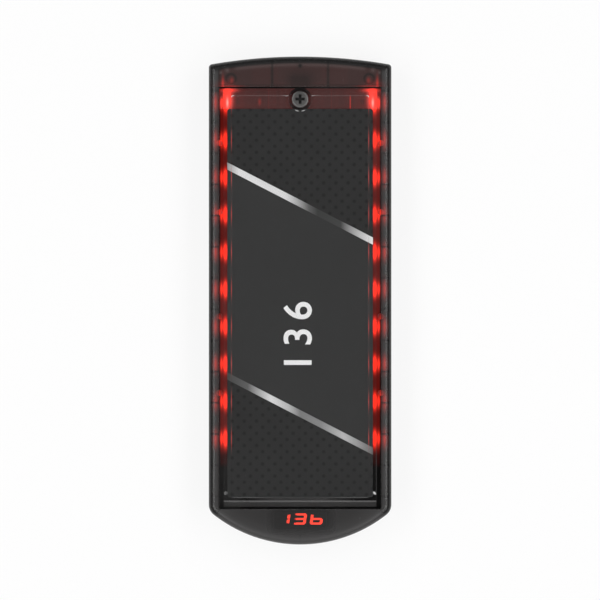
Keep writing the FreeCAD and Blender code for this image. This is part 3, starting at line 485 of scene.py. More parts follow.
def settle_chin(shell, rings):
    """Let the chin's top fall away gently towards its lower edge."""
    count = len(shell.data.vertices) // len(rings)
    top = CASE_HIGH.z
    spring = top - FRONT_ROUND
    for corner in shell.data.vertices:
        inset = rings[corner.index // count][0]
        share = (CHIN_FALL_START - corner.co.y) / (CHIN_FALL_START - CHIN_FALL_END)
        share = min(max(share, 0), 1)
        share *= share * (3 - 2 * share)
        fall = CHIN_FALL * share * max(0, 1 - max(inset, FRONT_ROUND) / CHIN_FALL_REACH) ** 2
        if corner.co.z > spring:
            corner.co.z -= fall * (corner.co.z - spring) / (top - spring)


def make_front_ribs():
    """Stiffening ribs in both rails and across the cap, which end just under the skin."""
    ribs = []
    for side in SIDES:
        inner, outer = sorted((side * (RECESS_SIDE + TRAY_WALL), side * (HALF_WIDTH - WALL)))
        for step in range(RIB_COUNT):
            y = RIB_FIRST - RIB_PITCH * step
            ribs.append(block("rib", (inner, y - RIB_THICKNESS / 2, RAIL_RIB_LOW),
                              (outer, y + RIB_THICKNESS / 2, INSIDE_HIGH)))
        x = side * CAP_RIB_X
        ribs.append(block("rib", (x - CAP_RIB_THICKNESS / 2, RECESS_TOP + TRAY_WALL, INSIDE_LOW),
                          (x + CAP_RIB_THICKNESS / 2, CAP_RIB_END, INSIDE_HIGH)))
    ribs = join("front_ribs", ribs)
    bevel_edges(ribs, level(INSIDE_HIGH), 0.2 * MM, 2)
    return ribs


def make_front_bosses():
    """Screw bosses under the skin, each a tube with a pilot hole."""
    bosses = []
    for place, radius, bore in BOSSES:
        boss = rod("boss", radius, INSIDE_LOW, INSIDE_HIGH, place, 32)
        cut(boss, rod("pilot", bore, INSIDE_LOW - MM, INSIDE_HIGH + MM, place, 24))
        bevel_edges(boss, level(INSIDE_HIGH), 0.15 * MM, 2)
        bosses.append(boss)
    return join("front_bosses", bosses)


def make_window_stops():
    """Half-round pegs on the recess walls that hold the window in the middle."""
    pegs = []
    for side in SIDES:
        for y in STOP_PLACES:
            peg = rod("peg", STOP_RADIUS, FLOOR_Z, FLOOR_Z + STOP_HEIGHT, (side * RECESS_SIDE, y), 32)
            bevel_edges(peg, level(FLOOR_Z + STOP_HEIGHT), 0.5 * MM, 4)
            pegs.append(peg)
    pegs = join("window_stops", pegs)
    smooth(pegs)
    return pegs


def smooth_copy(node, name):
    """The node's own shape as one clean mesh, with its rounds shaded smooth."""
    obj = frame["nodes"][node].copy()
    obj.data = obj.data.copy()
    bpy.context.scene.collection.objects.link(obj)
    for key in list(obj.keys()):
        del obj[key]
    obj.parent = None
    obj.name = obj.data.name = name
    choose(obj, "FACE", lambda middle, normal: True)
    bpy.ops.mesh.customdata_custom_splitnormals_clear()
    bpy.ops.mesh.remove_doubles(threshold=SAME_PLACE)
    bpy.ops.mesh.dissolve_limited(angle_limit=math.radians(0.5))
    leave_edit()
    smooth(obj)
    return obj


# ---- window

def make_window():
    """Clear cover: a flange with a raised panel, a sloped end, a pocket for the card and two tabs."""
    cover = block("window_cover", (-WINDOW_SIDE, WINDOW_END, WINDOW_UNDER),
                  (WINDOW_SIDE, WINDOW_HIGH.y, FLANGE_Z))
    bevel_edges(cover, upright(), WINDOW_CORNER)
    bevel_edges(cover, level(FLANGE_Z), FLANGE_BEVEL, 1)
    slope_window_end(cover)
    for side in SIDES:
        place = (side * (WINDOW_SIDE - BUMP_RADIUS), BUMP_Y)
        bump = rod("bump", BUMP_RADIUS, FLANGE_Z - 0.4 * MM, FLANGE_Z + BUMP_HEIGHT, place, 24)
        bevel_edges(bump, level(FLANGE_Z + BUMP_HEIGHT), 0.4 * MM, 4)
        add(cover, bump)
    add(cover, make_window_panel())
    gap = Vector((POCKET_GAP, POCKET_GAP, 0))
    pocket_low = Vector((CARD_LOW.x, CARD_LOW.y, WINDOW_UNDER - MM)) - gap
    pocket_high = Vector((CARD_HIGH.x, CARD_HIGH.y, CARD_HIGH.z + POCKET_HEADROOM)) + gap
    cut(cover, block("pocket", pocket_low, pocket_high))
    sink_screw_well(cover)
    for side in SIDES:
        add(cover, make_window_tab(side * TAB_X))
    smooth(cover, 25)
    return cover


def slope_window_end(cover):
    """Cut the flange's chin end to a slope and take the edge off where the slope starts."""
    tilt = math.atan2(END_BEVEL_DROP, END_BEVEL)
    thick = 4 * MM
    middle = (0, WINDOW_END - math.sin(tilt) * thick / 2,
              FLANGE_Z - END_BEVEL_DROP + math.cos(tilt) * thick / 2)
    bpy.ops.object.select_all(action="DESELECT")
    bpy.ops.mesh.primitive_cube_add(size=1, location=middle, rotation=(tilt, 0, 0),
                                    scale=(2 * RECESS_SIDE, 3 * END_BEVEL, thick))
    cut(cover, named("slope"))

    def starts_slope(start, end):
        return (level(FLANGE_Z)(start, end) and abs(start.x - end.x) > 10 * MM
                and abs(start.y - WINDOW_END - END_BEVEL) < 0.5 * MM)

    bevel_edges(cover, starts_slope, 0.3 * MM, 1)


def make_window_panel():
    """Raised middle of the window, with rounded corners and sloped sides."""
    panel = block("panel", (-PANEL_SIDE, PANEL_END, FLANGE_Z - PANEL_SINK),
                  (PANEL_SIDE, PANEL_TOP, WINDOW_HIGH.z - PANEL_SLOPE_DROP))
    bevel_edges(panel, upright(0.5 * MM), PANEL_CORNER, 4)
    choose(panel, "FACE", facing(1))
    bpy.ops.mesh.inset(thickness=PANEL_SLOPE, depth=PANEL_SLOPE_DROP)
    leave_edit()
    return panel


def sink_screw_well(cover):
    """Round well for the screw's head, its hole, and a small slope round its upper edge."""
    cut(cover, rod("well", HEAD_RECESS, HEAD_SEAT, WINDOW_HIGH.z + MM, SCREW_PLACE, 64))
    cut(cover, rod("hole", SHANK_HOLE, WINDOW_UNDER - MM, WINDOW_HIGH.z, SCREW_PLACE, 32))

    def on_rim(start, end):
        return level(WINDOW_HIGH.z)(start, end) and all(
            abs(from_axis(point, SCREW_PLACE) - HEAD_RECESS) < 0.05 * MM for point in (start, end))

    bevel_edges(cover, on_rim, 0.25 * MM, 1)


def make_window_tab(x):
    """Tab that reaches under the chin, with a rounded end for the window to rock on."""
    low = FLOOR_Z + TAB_LIFT
    tab = block("tab", (x - TAB_HALF, WINDOW_LOW.y, low),
                (x + TAB_HALF, WINDOW_END + 0.5 * MM, low + TAB_THICKNESS))

    def at_end(start, end):
        return max(start.y, end.y) < WINDOW_END - MM and abs(start.x - end.x) > MM

    bevel_edges(tab, at_end, 0.5 * MM, 4)
    return tab


# ---- screws, number and display

def make_pan_screw(name, place, head, shank, drive, steel, up=1):
    """Screw with a domed head, a tapered cross in it and thread rings on its shank.

    head is its radius, seat and top; shank is its radius and far end; up is -1 where the head looks down.
    """
    radius, seat, crown = head
    length, _, depth = drive
    obj = rod(name, radius, min(seat, crown), max(seat, crown), place, 64)
    bevel_edges(obj, level(crown), min(0.6 * MM, abs(crown - seat) * 0.6), 6)
    bevel_edges(obj, level(seat), 0.12 * MM, 2)
    cut_cross(obj, place, crown, drive, up)
    smooth(obj, 40)
    obj.data.materials.append(steel)
    # Faces inside the cross get a near-black material: painted shade in the recess.
    obj.data.materials.append(CROSS_PAINTED_SHADE)
    for face in obj.data.polygons:
        drop = (crown - face.center.z) * up
        if 0.03 * MM < drop < depth * 1.1 and from_axis(face.center, place) < length * 0.55:
            face.material_index = 1
    thread = make_thread(place, shank[0], seat, shank[1])
    thread.data.materials.append(steel)
    return join(name, [obj, thread])


def cut_cross(obj, place, crown, drive, up):
    """Cross in a screw's head, narrower at its bottom and with its upper edge taken off."""
    length, width, depth = drive
    low, high = sorted((crown - up * depth, crown + up * MM))
    for x, y in ((length / 2, width / 2), (width / 2, length / 2)):
        arm = block("arm", (place[0] - x, place[1] - y, low), (place[0] + x, place[1] + y, high))
        choose(arm, "FACE", facing(-up))
        bpy.ops.transform.resize(value=(CROSS_TAPER, CROSS_TAPER, 1),
                                 center_override=(place[0], place[1], crown - up * depth))
        leave_edit()
        cut(obj, arm)

    def on_rim(start, end):
        return level(crown)(start, end) and max(from_axis(start, place), from_axis(end, place)) < length * 0.6

    bevel_edges(obj, on_rim, 0.08 * MM, 1)


def make_thread(place, radius, seat, tip):
    """Shank with a ridge for every turn of its thread."""
    bpy.ops.object.select_all(action="DESELECT")
    bpy.ops.mesh.primitive_circle_add(vertices=24, radius=radius * THREAD_CORE, fill_type="NGON",
                                      location=(place[0], place[1], seat))
    shank = named("shank")
    down = 1 if tip > seat else -1
    length = abs(tip - seat)
    turns = int((length - THREAD_PITCH) / THREAD_PITCH)
    bpy.ops.object.mode_set(mode="EDIT")
    bpy.ops.mesh.select_mode(type="FACE")
    bpy.ops.mesh.select_all(action="SELECT")

    def grow(rise, size):
        bpy.ops.mesh.extrude_region_move(TRANSFORM_OT_translate={"value": (0, 0, down * rise)})
        bpy.ops.transform.resize(value=(size, size, 1), center_override=(place[0], place[1], 0))

    for _ in range(turns):
        grow(THREAD_PITCH * 0.5, 1 / THREAD_CORE)
        grow(THREAD_PITCH * 0.5, THREAD_CORE)
    grow(length - turns * THREAD_PITCH, 0.5)
    bpy.ops.mesh.select_all(action="SELECT")
    bpy.ops.mesh.normals_make_consistent(inside=False)
    leave_edit()
    return shank


def make_label_number():
    """Plain pager number, printed sideways on the card."""
    bpy.ops.object.select_all(action="DESELECT")
    bpy.ops.object.text_add(location=(*NUMBER_PLACE, CARD_HIGH.z + INK_THICKNESS),
                            rotation=(0, 0, math.pi / 2))
    text = bpy.context.object
    text.data.body = "136"
    text.data.size = NUMBER_SIZE
    text.data.space_character = NUMBER_SPACING
    text.data.offset = NUMBER_WEIGHT
    text.data.extrude = INK_THICKNESS
    bpy.ops.object.convert(target="MESH")
    return named("label_number")


def make_display_housing():
    """The display's black housing, its face a little lower than the rim and the bars."""
    low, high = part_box("display_housing")
    housing = block("display_housing_box", low, high)
    bevel_edges(housing, upright(), 0.4 * MM)
    bevel_edges(housing, level(high.z), 0.12 * MM, 2)
    choose(housing, "FACE", facing(1, 0.99))
    bpy.ops.mesh.inset(thickness=0.2 * MM, depth=-0.1 * MM)
    leave_edit()
    return housing


def make_bar(middle, half):
    """One bar of a digit, leaning with it."""
    bar = block("bar", middle - half - Vector((0, 0, BAR_DEPTH)), middle + half)
    bevel_edges(bar, upright(BAR_DEPTH / 2), BAR_WIDTH * BAR_ROUND, 2)
    bevel_edges(bar, level(middle.z), 0.05 * MM, 2)
    for corner in bar.data.vertices:
        corner.co.x += DIGIT_LEAN * (corner.co.y - DISPLAY_Y - DIGIT_RISE)
    return bar


def make_digit_bars():
    """The display's bars, as two pieces: those that show the number, and the unlit rest."""
    lit, unlit = [], []
    across = Vector((DIGIT_WIDTH / 2 + BAR_WIDTH * BAR_ROUND - BAR_GAP, BAR_WIDTH / 2, 0))
    along = Vector((UPRIGHT_WIDTH / 2, DIGIT_HEIGHT / 4 - BAR_GAP, 0))
    for digit, shown in enumerate(SHOWN_BARS):
        for bar, (lies_across, at_x, at_y) in BAR_PLACES.items():
            middle = Vector(((digit - 1) * DIGIT_PITCH + at_x * DIGIT_WIDTH / 2,
                             DISPLAY_Y + DIGIT_RISE + at_y * DIGIT_HEIGHT / 2, BARS_HIGH.z))
            obj = make_bar(middle, across if lies_across else along)
            (lit if bar in shown else unlit).append(obj)
    return join("digit_bars_lit", lit), join("digit_bars_unlit", unlit)


# ---- under the case

def make_dished_rod(name, radius, low, high, place, sides, rim, dish, edge):
    """Short rod whose lower face has a flat rim round a dish, and whose lower edge is rounded.

    dish is the width of its wall and its depth; edge is the rounding's width and steps.
    """
    obj = rod(name, radius, low, high, place, sides)
    choose(obj, "FACE", facing(-1))
    bpy.ops.mesh.inset(thickness=rim)
    bpy.ops.mesh.inset(thickness=dish[0], depth=-dish[1])
    leave_edit()

    def on_edge(start, end):
        return level(low)(start, end) and from_axis(start, place) > radius - 0.3 * MM

    bevel_edges(obj, on_edge, *edge)
    return obj


def make_foot(name, place, low, high):
    """Rubber foot: a short plug with a shallow dish in its sole."""
    foot = make_dished_rod(name, FOOT_RADIUS, low, high, place, 64, 1.1 * MM, mm(0.35, 0.3),
                           (0.45 * MM, 4))
    smooth(foot, 40)
    return foot


def make_contact(name, place, low, high):
    """Plated contact: a dished disc on a wider flange inside the case."""
    floor_top = high - STUD_FLANGE_HEIGHT
    stud = make_dished_rod(name, STUD_RADIUS, low, floor_top, place, 48, 0.5 * MM, mm(0.6, 0.12),
                           (0.18 * MM, 3))
    flange = rod("flange", STUD_FLANGE, floor_top, high, place, 48)
    bevel_edges(flange, level(high), 0.1 * MM, 2)
    stud = join(name, [stud, flange])
    smooth(stud, 35)
    return stud


# ---- shader trees

def maths_method(operation):
    """Method that adds one maths node, fed by its owner and then by what it is given."""
    return lambda owner, *others: owner.wires.maths(operation, owner, *others)


class Feed:
    """A value inside a shader tree. Sums and comparisons on it add maths nodes."""

    __add__ = maths_method("ADD")
    __sub__ = maths_method("SUBTRACT")
    __mul__ = maths_method("MULTIPLY")
    __truediv__ = maths_method("DIVIDE")
    __abs__ = maths_method("ABSOLUTE")
    rounded = maths_method("ROUND")
    at_least = maths_method("MAXIMUM")
    at_most = maths_method("MINIMUM")
    above = maths_method("GREATER_THAN")
    below = maths_method("LESS_THAN")

    def __init__(self, wires, socket):
        self.wires = wires
        self.socket = socket

    def __rsub__(self, other):
        return self.wires.maths("SUBTRACT", other, self)

    def clamped(self):
        """The same sum, kept between 0 and 1."""
        self.socket.node.use_clamp = True
        return self

    def ramp(self, low, high):
        """Zero at low, rising to one at high."""
        return self.wires.value("ShaderNodeMapRange", {0: self, 1: low, 2: high})

    def bell(self, width):
        """One at 0, falling off smoothly over the width."""
        ratio = self / width
        return self.wires.maths("EXPONENT", ratio * ratio * -1)

    def between(self, low, high, soft=0.1 * MM):
        """One where the value lies between low and high, with soft ends."""
        return self.ramp(low - soft, low + soft) * self.ramp(high + soft, high - soft)


class Wires:
    """Adds nodes to one tree, wired or set as they are made."""

    def __init__(self, tree):
        self.tree = tree

    def plug(self, socket, feed):
        """Wire a feed into a socket, or set the socket to a plain value."""
        if isinstance(feed, Feed):
            self.tree.links.new(feed.socket, socket)
        else:
            socket.default_value = feed

    def node(self, kind, inputs=(), **settings):
        made = self.tree.nodes.new(kind)
        for key, setting in settings.items():
            setattr(made, key, setting)
        for key, feed in dict(inputs).items():
            self.plug(made.inputs[key], feed)
        return made

    def value(self, kind, inputs=(), output=0, **settings):
        return Feed(self, self.node(kind, inputs, **settings).outputs[output])

    def maths(self, operation, *feeds):
        return self.value("ShaderNodeMath", enumerate(feeds), operation=operation)

    def mix(self, share, first, second):
        """Colour that goes from first to second as share goes from 0 to 1."""
        return self.value("ShaderNodeMix", {0: share, 6: first, 7: second}, 2, data_type="RGBA")

    def object_parts(self):
        """The point's own x, y and z in metres, and the whole vector."""
        place = self.value("ShaderNodeTexCoord", output="Object")
        parts = self.node("ShaderNodeSeparateXYZ", {0: place}).outputs
        return *(Feed(self, part) for part in parts), place

    def moved(self, place, **changes):
        """The place after a shift, turn or stretch."""
        return self.value("ShaderNodeMapping", {"Vector": place, **changes})

    def noise(self, place, scale, detail=3, roughness=0.5):
        return self.value("ShaderNodeTexNoise", {"Vector": place, "Scale": scale, "Detail": detail,
                                                 "Roughness": roughness}, "Fac")

    def bump(self, height, strength, distance):
        return self.value("ShaderNodeBump", {"Strength": strength, "Distance": distance, "Height": height})

    def shades(self, feed, stops):
        """Colour that goes through the stops, each a place from 0 to 1 and a colour."""
        ramp = self.node("ShaderNodeValToRGB", {0: feed})
        elements = ramp.color_ramp.elements
        for index, (at, colour) in enumerate(stops):
            stop = elements[index] if index < 2 else elements.new(at)
            stop.position = at
            stop.color = colour
        return Feed(self, ramp.outputs[0])

    def group(self, tree, **inputs):
        """Place a node group with its own values. Gives its outputs by name."""
        feeds = {key.replace("_", " "): feed for key, feed in inputs.items()}
        made = self.node("ShaderNodeGroup", feeds, node_tree=tree)
        return {socket.name: Feed(self, socket) for socket in made.outputs}


def length_of(across, along):
    """Length of a line from its parts across and along."""
    return across.wires.maths("SQRT", across * across + along * along)


def rgb(levels):
    """Linear colour from screen levels of 0 to 255."""
    def linear(part):
        part /= 255
        return part / 12.92 if part <= 0.04045 else ((part + 0.055) / 1.055) ** 2.4
    return (*(linear(part) for part in levels), 1)


def grey(level_255):
    return rgb((level_255,) * 3)


def scaled(colour, share, lift=0):
    return (*(min(1, part * share + lift) for part in colour[:3]), 1)


def new_group(name, inputs, outputs):
    """Empty shader node group. Gives its tree, wires, input feeds by name and output node."""
    tree = bpy.data.node_groups.new(name, "ShaderNodeTree")
    for socket, default in inputs.items():
        made = tree.interface.new_socket(name=socket, in_out="INPUT", socket_type="NodeSocketFloat")
        made.default_value = default
    for socket in outputs:
        tree.interface.new_socket(name=socket, in_out="OUTPUT", socket_type="NodeSocketFloat")
    wires = Wires(tree)
    given = wires.node("NodeGroupInput").outputs
    return tree, wires, {name: Feed(wires, given[name]) for name in inputs}, wires.node("NodeGroupOutput")


def make_surface_group():
    """Moulded or cast surface: fine grain, soft mottle, handling marks and worn edges."""
    tree, wires, given, out = new_group("surface", {"Grain Scale": 2500, "Mottle Scale": 60, "Wear": 1},
                                        ["Grain", "Mottle", "Marks", "Edge"])
    *_, place = wires.object_parts()
    mottle = wires.noise(place, given["Mottle Scale"], 4)
    stretched = wires.moved(place, Rotation=(0, 0, 0.5), Scale=(1, 0.12, 1))
    point = wires.value("ShaderNodeNewGeometry", output="Pointiness")
    wires.plug(out.inputs["Grain"], wires.noise(place, given["Grain Scale"], 2, 0.6))
    wires.plug(out.inputs["Mottle"], mottle)
    wires.plug(out.inputs["Marks"], wires.noise(stretched, 900, 3, 0.7).ramp(0.62, 0.8))
    wires.plug(out.inputs["Edge"], (point.ramp(0.52, 0.62) * (mottle * given["Wear"])).clamped())
    return tree


def make_glow_group():
    """Light of the two rows of lamps on whatever surface lies near them."""
    tree, wires, given, out = new_group("lamp glow", {"Centre": LED_X, "Width": MM, "Length": 3 * MM},
                                        ["Glow"])
    x, y, *_ = wires.object_parts()
    turn = ((LED_FIRST - GLOW_SHIFT) - y) / LED_PITCH
    nearest = turn.rounded().at_least(0).at_most(LED_COUNT - 1)
    along = (turn - nearest) * LED_PITCH
    across = abs(x) - given["Centre"]
    wires.plug(out.inputs["Glow"], along.bell(given["Length"]) * across.bell(given["Width"]))
    return tree


SURFACE = make_surface_group()
GLOW = make_glow_group()


def glow_on(wires, centre, width, length):
    return wires.group(GLOW, Centre=centre, Width=width, Length=length)["Glow"]


def new_material(name, colour, **sockets):
    """Material with plain values set on its shader's own sockets. Gives it, its wires and its shader."""
    material = bpy.data.materials.new(name)
    material.use_nodes = True
    shader = material.node_tree.nodes["Principled BSDF"]
    shader.inputs["Base Color"].default_value = colour
    for socket, setting in sockets.items():
        shader.inputs[socket.replace("_", " ")].default_value = setting
    return material, Wires(material.node_tree), shader


def surface_on(wires, shader, colour, roughness, grain=2500, bump=0.05, mottle=0.12, wear=0.5,
               worn=None, paint=None):
    """Dress a shader with the shared surface: colour and roughness vary, edges are worn, grain is bumped."""
    parts = wires.group(SURFACE, Grain_Scale=grain, Wear=wear * 2)
    tone = wires.mix(parts["Mottle"], scaled(colour, 1 - mottle), scaled(colour, 1 + mottle))
    if paint:
        tone = paint(tone)
    tone = wires.mix(parts["Edge"], tone, worn or scaled(colour, 1.5, 0.02))
    wires.plug(shader.inputs["Base Color"], tone)
    rough = parts["Mottle"] * 0.12 + (roughness - 0.06)
    wires.plug(shader.inputs["Roughness"], (rough + parts["Marks"] * 0.08).clamped())
    if bump:
        wires.plug(shader.inputs["Normal"], wires.bump(parts["Grain"], bump, 0.05 * MM))
    return parts


# ---- smoke plastic

SMOKE = rgb((46, 45, 45))
THICK_SMOKE = rgb((24, 22, 22))
BLACK = (0, 0, 0, 1)
WHITE = (1, 1, 1, 1)
LAMP_RED = (1.0, 0.028, 0.013, 1)
HOT_RED = (1, 0.3, 0.26, 1)
CAP_COVER = 0.55
RAIL_COVER = 0.6
CHIN_COVER = 0.97
DISPLAY_COVER = 0.6
CHIN_LOW = 15 * MM
CHIN_SIDE = 34.5 * MM

# Lamp light on a surface: its distance from the middle line, its width and its length.
MAIN_LOBE = mm(31.15, 0.8, 2.75)
OUTER_LOBE = mm(32.85, 0.45, 2.45)
RAIL_LOBE = mm(35.2, 1.0, 3.2)
RIB_LOBE = mm(33.8, 1.9, 4)
EDGE_LOBE = (PANEL_SIDE, *mm(1.2, 4.4))
BOARD_LOBE = (LED_X, *mm(7, 9))
OUTER_LOBE_TOP = 84.8 * MM
LAMP_COLUMN = mm(30.2, 33.3)
FIRST_LAMP_SIDE = 32.2 * MM

# Soft ovals on both sides of the middle line: distance from it, place along it, width and length.
FIRST_LAMP = (30.4 * MM, LED_FIRST + MM, *mm(1.7, 4.2))
FIRST_LAMP_END = mm(29.5, 87.8, 2.8, 0.8)
HOT_SPOT = (30.35 * MM, LED_FIRST - GLOW_SHIFT, *mm(0.45, 1.7))
# These two are patches of painted light in the cap.
LARGE_PATCH = mm(30.4, 96, 0.9, 0.9)
SMALL_PATCH = mm(33, 95, 0.6, 0.6)
CAP_STREAK = mm(32.2, 89, 0.5, 3.2)
BOSS_CORE = mm(28.5, 91.8, 0.7, 1.1)
CAP_CORNER = mm(31, 89, 3.6, 2.2)
LIP_GLOW = (29 * MM, RECESS_TOP + 0.25 * MM, *mm(4.5, 0.35))

# Painted red light lines and a spot on the strip above the card, where edges of what lies under it show.
STRIP_LINE_X = 20.95 * MM
STRIP_LINE = mm(80, 85.3)
STRIP_PAIR_X = 13.1 * MM
STRIP_SPOT = Vector(mm(-16.9, 83))

# How strong each part of the red light is.
STRENGTH = SimpleNamespace(
    main=2.4, outer=1.1, column=0.07, first=1.6, first_end=0.7, tail=0.014, tail_start=0.045,
    streaks=0.045, bands=0.03, line=0.35, pair=0.03, spot=0.12, rail=0.28,
    cap_streak=0.35, boss_core=0.1, corner=0.09, lip=0.2, haze=0.014)


def oval(at, place):
    """Soft oval mark on both sides of the middle line."""
    middle_x, middle_y, width, length = place
    return (at.side - middle_x).bell(width) * (at.y - middle_y).bell(length)


def smoke_places(wires):
    """Where a point of the smoke shell lies, and masks for the shell's regions."""
    x, y, z, place = wires.object_parts()
    side = abs(x)
    edge = 0.2 * MM
    in_recess = side.between(-MM, RECESS_SIDE + edge) * y.between(RECESS_END - edge, RECESS_TOP + edge)
    in_well = length_of(x, y - SCREW_PLACE.y).below(HEAD_RECESS)
    return SimpleNamespace(
        x=x, y=y, z=z, place=place, side=side,
        on_floor=z.between(FLOOR_Z - 3 * MM, FLOOR_Z + 0.3 * MM) * in_recess,
        on_top=z.between(FLOOR_Z + 1.5 * MM, CASE_HIGH.z + MM, 0.5 * MM),
        in_cap=y.between(RECESS_TOP, CASE_HIGH.y, 0.05 * MM),
        in_chin=y.between(CASE_LOW.y, RECESS_END, 0.3 * MM) * z.between(CHIN_LOW, CASE_HIGH.z + MM, 0.6 * MM)
        * side.between(-MM, CHIN_SIDE, 1.5 * MM),
        between_rails=side.between(-MM, 33.4 * MM, 0.8 * MM),
        under_window=y.below(WINDOW_HIGH.y),
        above_card=y.above(CARD_HIGH.y),
        # Painted shadow in the screw's well, strongest above and below the head.
        painted_shade_and_glint_at_screw=in_well * (1 - (y - SCREW_PLACE.y).bell(2.2 * MM) * 0.75))


def lamp_light(wires, at):
    """Lamps shining up through the recess floor, in two lobes split by the window's edge."""
    main = (glow_on(wires, *MAIN_LOBE) * STRENGTH.main).clamped()
    outer = (glow_on(wires, *OUTER_LOBE) * STRENGTH.outer).clamped()
    outer = outer * at.y.between(CASE_LOW.y, OUTER_LOBE_TOP, 1.2 * MM)
    in_column = at.side.between(*LAMP_COLUMN, 0.3 * MM)
    column = in_column * at.y.between(LED_LAST - 5 * MM, RECESS_TOP, 2.5 * MM) * STRENGTH.column
    first = (oval(at, FIRST_LAMP) * STRENGTH.first).clamped() * at.side.between(0, FIRST_LAMP_SIDE, 0.3 * MM)
    first_end = oval(at, FIRST_LAMP_END) * STRENGTH.first_end
    below_last = at.y.between(LED_LAST - 11.7 * MM, LED_LAST, MM) * STRENGTH.tail
    near_last = (at.y - (LED_LAST - 3.5 * MM)).bell(3 * MM) * STRENGTH.tail_start
    tail = in_column * (below_last + near_last)
    return (main + outer + column + tail + first + first_end) * at.on_floor * at.under_window


def strip_light(wires, at):
    """Painted red light on the strip above the card, in streaks and bands, with lines and a spot of it where
    edges of what lies under it show.
    """
    streaks = wires.noise(wires.moved(at.place, Scale=(1, 0.06, 1)), 420, 3, 0.6) * STRENGTH.streaks
    bands = wires.noise(wires.moved(at.place, Scale=(0.05, 1, 1)), 700, 2, 0.6) * STRENGTH.bands
    line = (at.x - STRIP_LINE_X).bell(0.2 * MM) * at.y.between(*STRIP_LINE, 0.6 * MM) * STRENGTH.line
    pair = (at.side - STRIP_PAIR_X).bell(0.16 * MM) * STRENGTH.pair
    spot = (at.x - STRIP_SPOT.x).bell(0.6 * MM) * (at.y - STRIP_SPOT.y).bell(1.3 * MM) * STRENGTH.spot
    strip = (streaks + bands + line + pair + spot) * at.on_floor * at.above_card * at.under_window
    # No red light in the screw's well, where its painted shadow lies.
    return strip * (1 - at.painted_shade_and_glint_at_screw)


def rail_marks(wires, at):
    """Painted shade lines over the ribs under the rails, and the painted red light that they break up."""
    turn = (RIB_FIRST - at.y) / RIB_PITCH
    from_rib = (turn - turn.rounded()) * RIB_PITCH
    # Painted shade over each rib under the rail tops.
    rib = from_rib.bell(0.55 * MM) * (at.on_top * at.y.between(RECESS_END, RECESS_TOP, 0.5 * MM))
    light = glow_on(wires, *RAIL_LOBE) * STRENGTH.rail * (1 - rib * 0.9)
    return rib, light


def cap_marks(at):
    """Inside the cap: a dark rim; a painted highlight band near where wall meets skin and lighter patches of
    painted light; painted shade over ribs and bosses; and painted red light.
    """
    from_arc = TOP_ARC - length_of(at.x, at.y - (CASE_HIGH.y - TOP_ARC))
    inside_rim = from_arc.ramp(2.5 * MM, 3.4 * MM)
    from_boss = length_of(at.side - CAP_SCREW[0], at.y - CAP_SCREW[1])
    # Painted shade over the parts under the skin: the cap bosses' rings, the cap's ribs, the small boss and a
    # block in the middle.
    ring = (from_boss - 2.0 * MM).bell(0.6 * MM) * 0.8
    rib = (at.side - CAP_RIB_X).bell(0.6 * MM) * 0.7
    small_boss = length_of(at.x, at.y - SMALL_BOSS_Y).bell(1.1 * MM)
    middle_block = at.side.between(*mm(-3, 5, 2.2)) * at.y.between(RECESS_TOP, 95 * MM, 2 * MM) * 0.6
    parts = ((ring + rib + small_boss + middle_block) * at.in_cap).clamped()
    # Painted highlight band near where wall meets skin.
    band = (from_arc - 3.5 * MM).bell(0.75 * MM) * at.side.between(-MM, 27 * MM, MM) * 0.75
    # Lighter patches of painted light.
    patches = oval(at, LARGE_PATCH) + oval(at, SMALL_PATCH)
    lip = oval(at, LIP_GLOW) * at.between_rails * STRENGTH.lip
    # Weak painted red haze, kept off the painted shade over the parts.
    haze = inside_rim * at.between_rails * STRENGTH.haze * (1 - parts)
    light = (oval(at, CAP_STREAK) * STRENGTH.cap_streak + oval(at, BOSS_CORE) * STRENGTH.boss_core
             + oval(at, CAP_CORNER) * STRENGTH.corner + lip + haze) * at.in_cap
    return SimpleNamespace(inside_rim=inside_rim, parts=parts, light=light,
                           painted_highlight=band.at_least(patches) * at.in_cap * (1 - parts))


def lamp_tint(wires, amount):
    """The lamps' red times a varying amount."""
    return wires.mix((amount * 1).clamped(), BLACK, LAMP_RED)


def smoke_cover(at, lamps, dark, end_zone):
    """How much the plastic hides of what lies under it."""
    beside_display = at.y.between(DISPLAY_Y - 4.5 * MM, DISPLAY_Y + 4.5 * MM, 2 * MM)
    display = at.x.between(*mm(-12, 13, 2.5)) * beside_display * (CHIN_COVER - DISPLAY_COVER)
    cover = at.in_cap * at.between_rails * (CAP_COVER - RAIL_COVER) + RAIL_COVER
    cover = cover * (1 - at.in_chin) + at.in_chin * (CHIN_COVER - display)
    return (cover + lamps * 2 + dark * 0.5 + end_zone * 0.4).at_most(1)


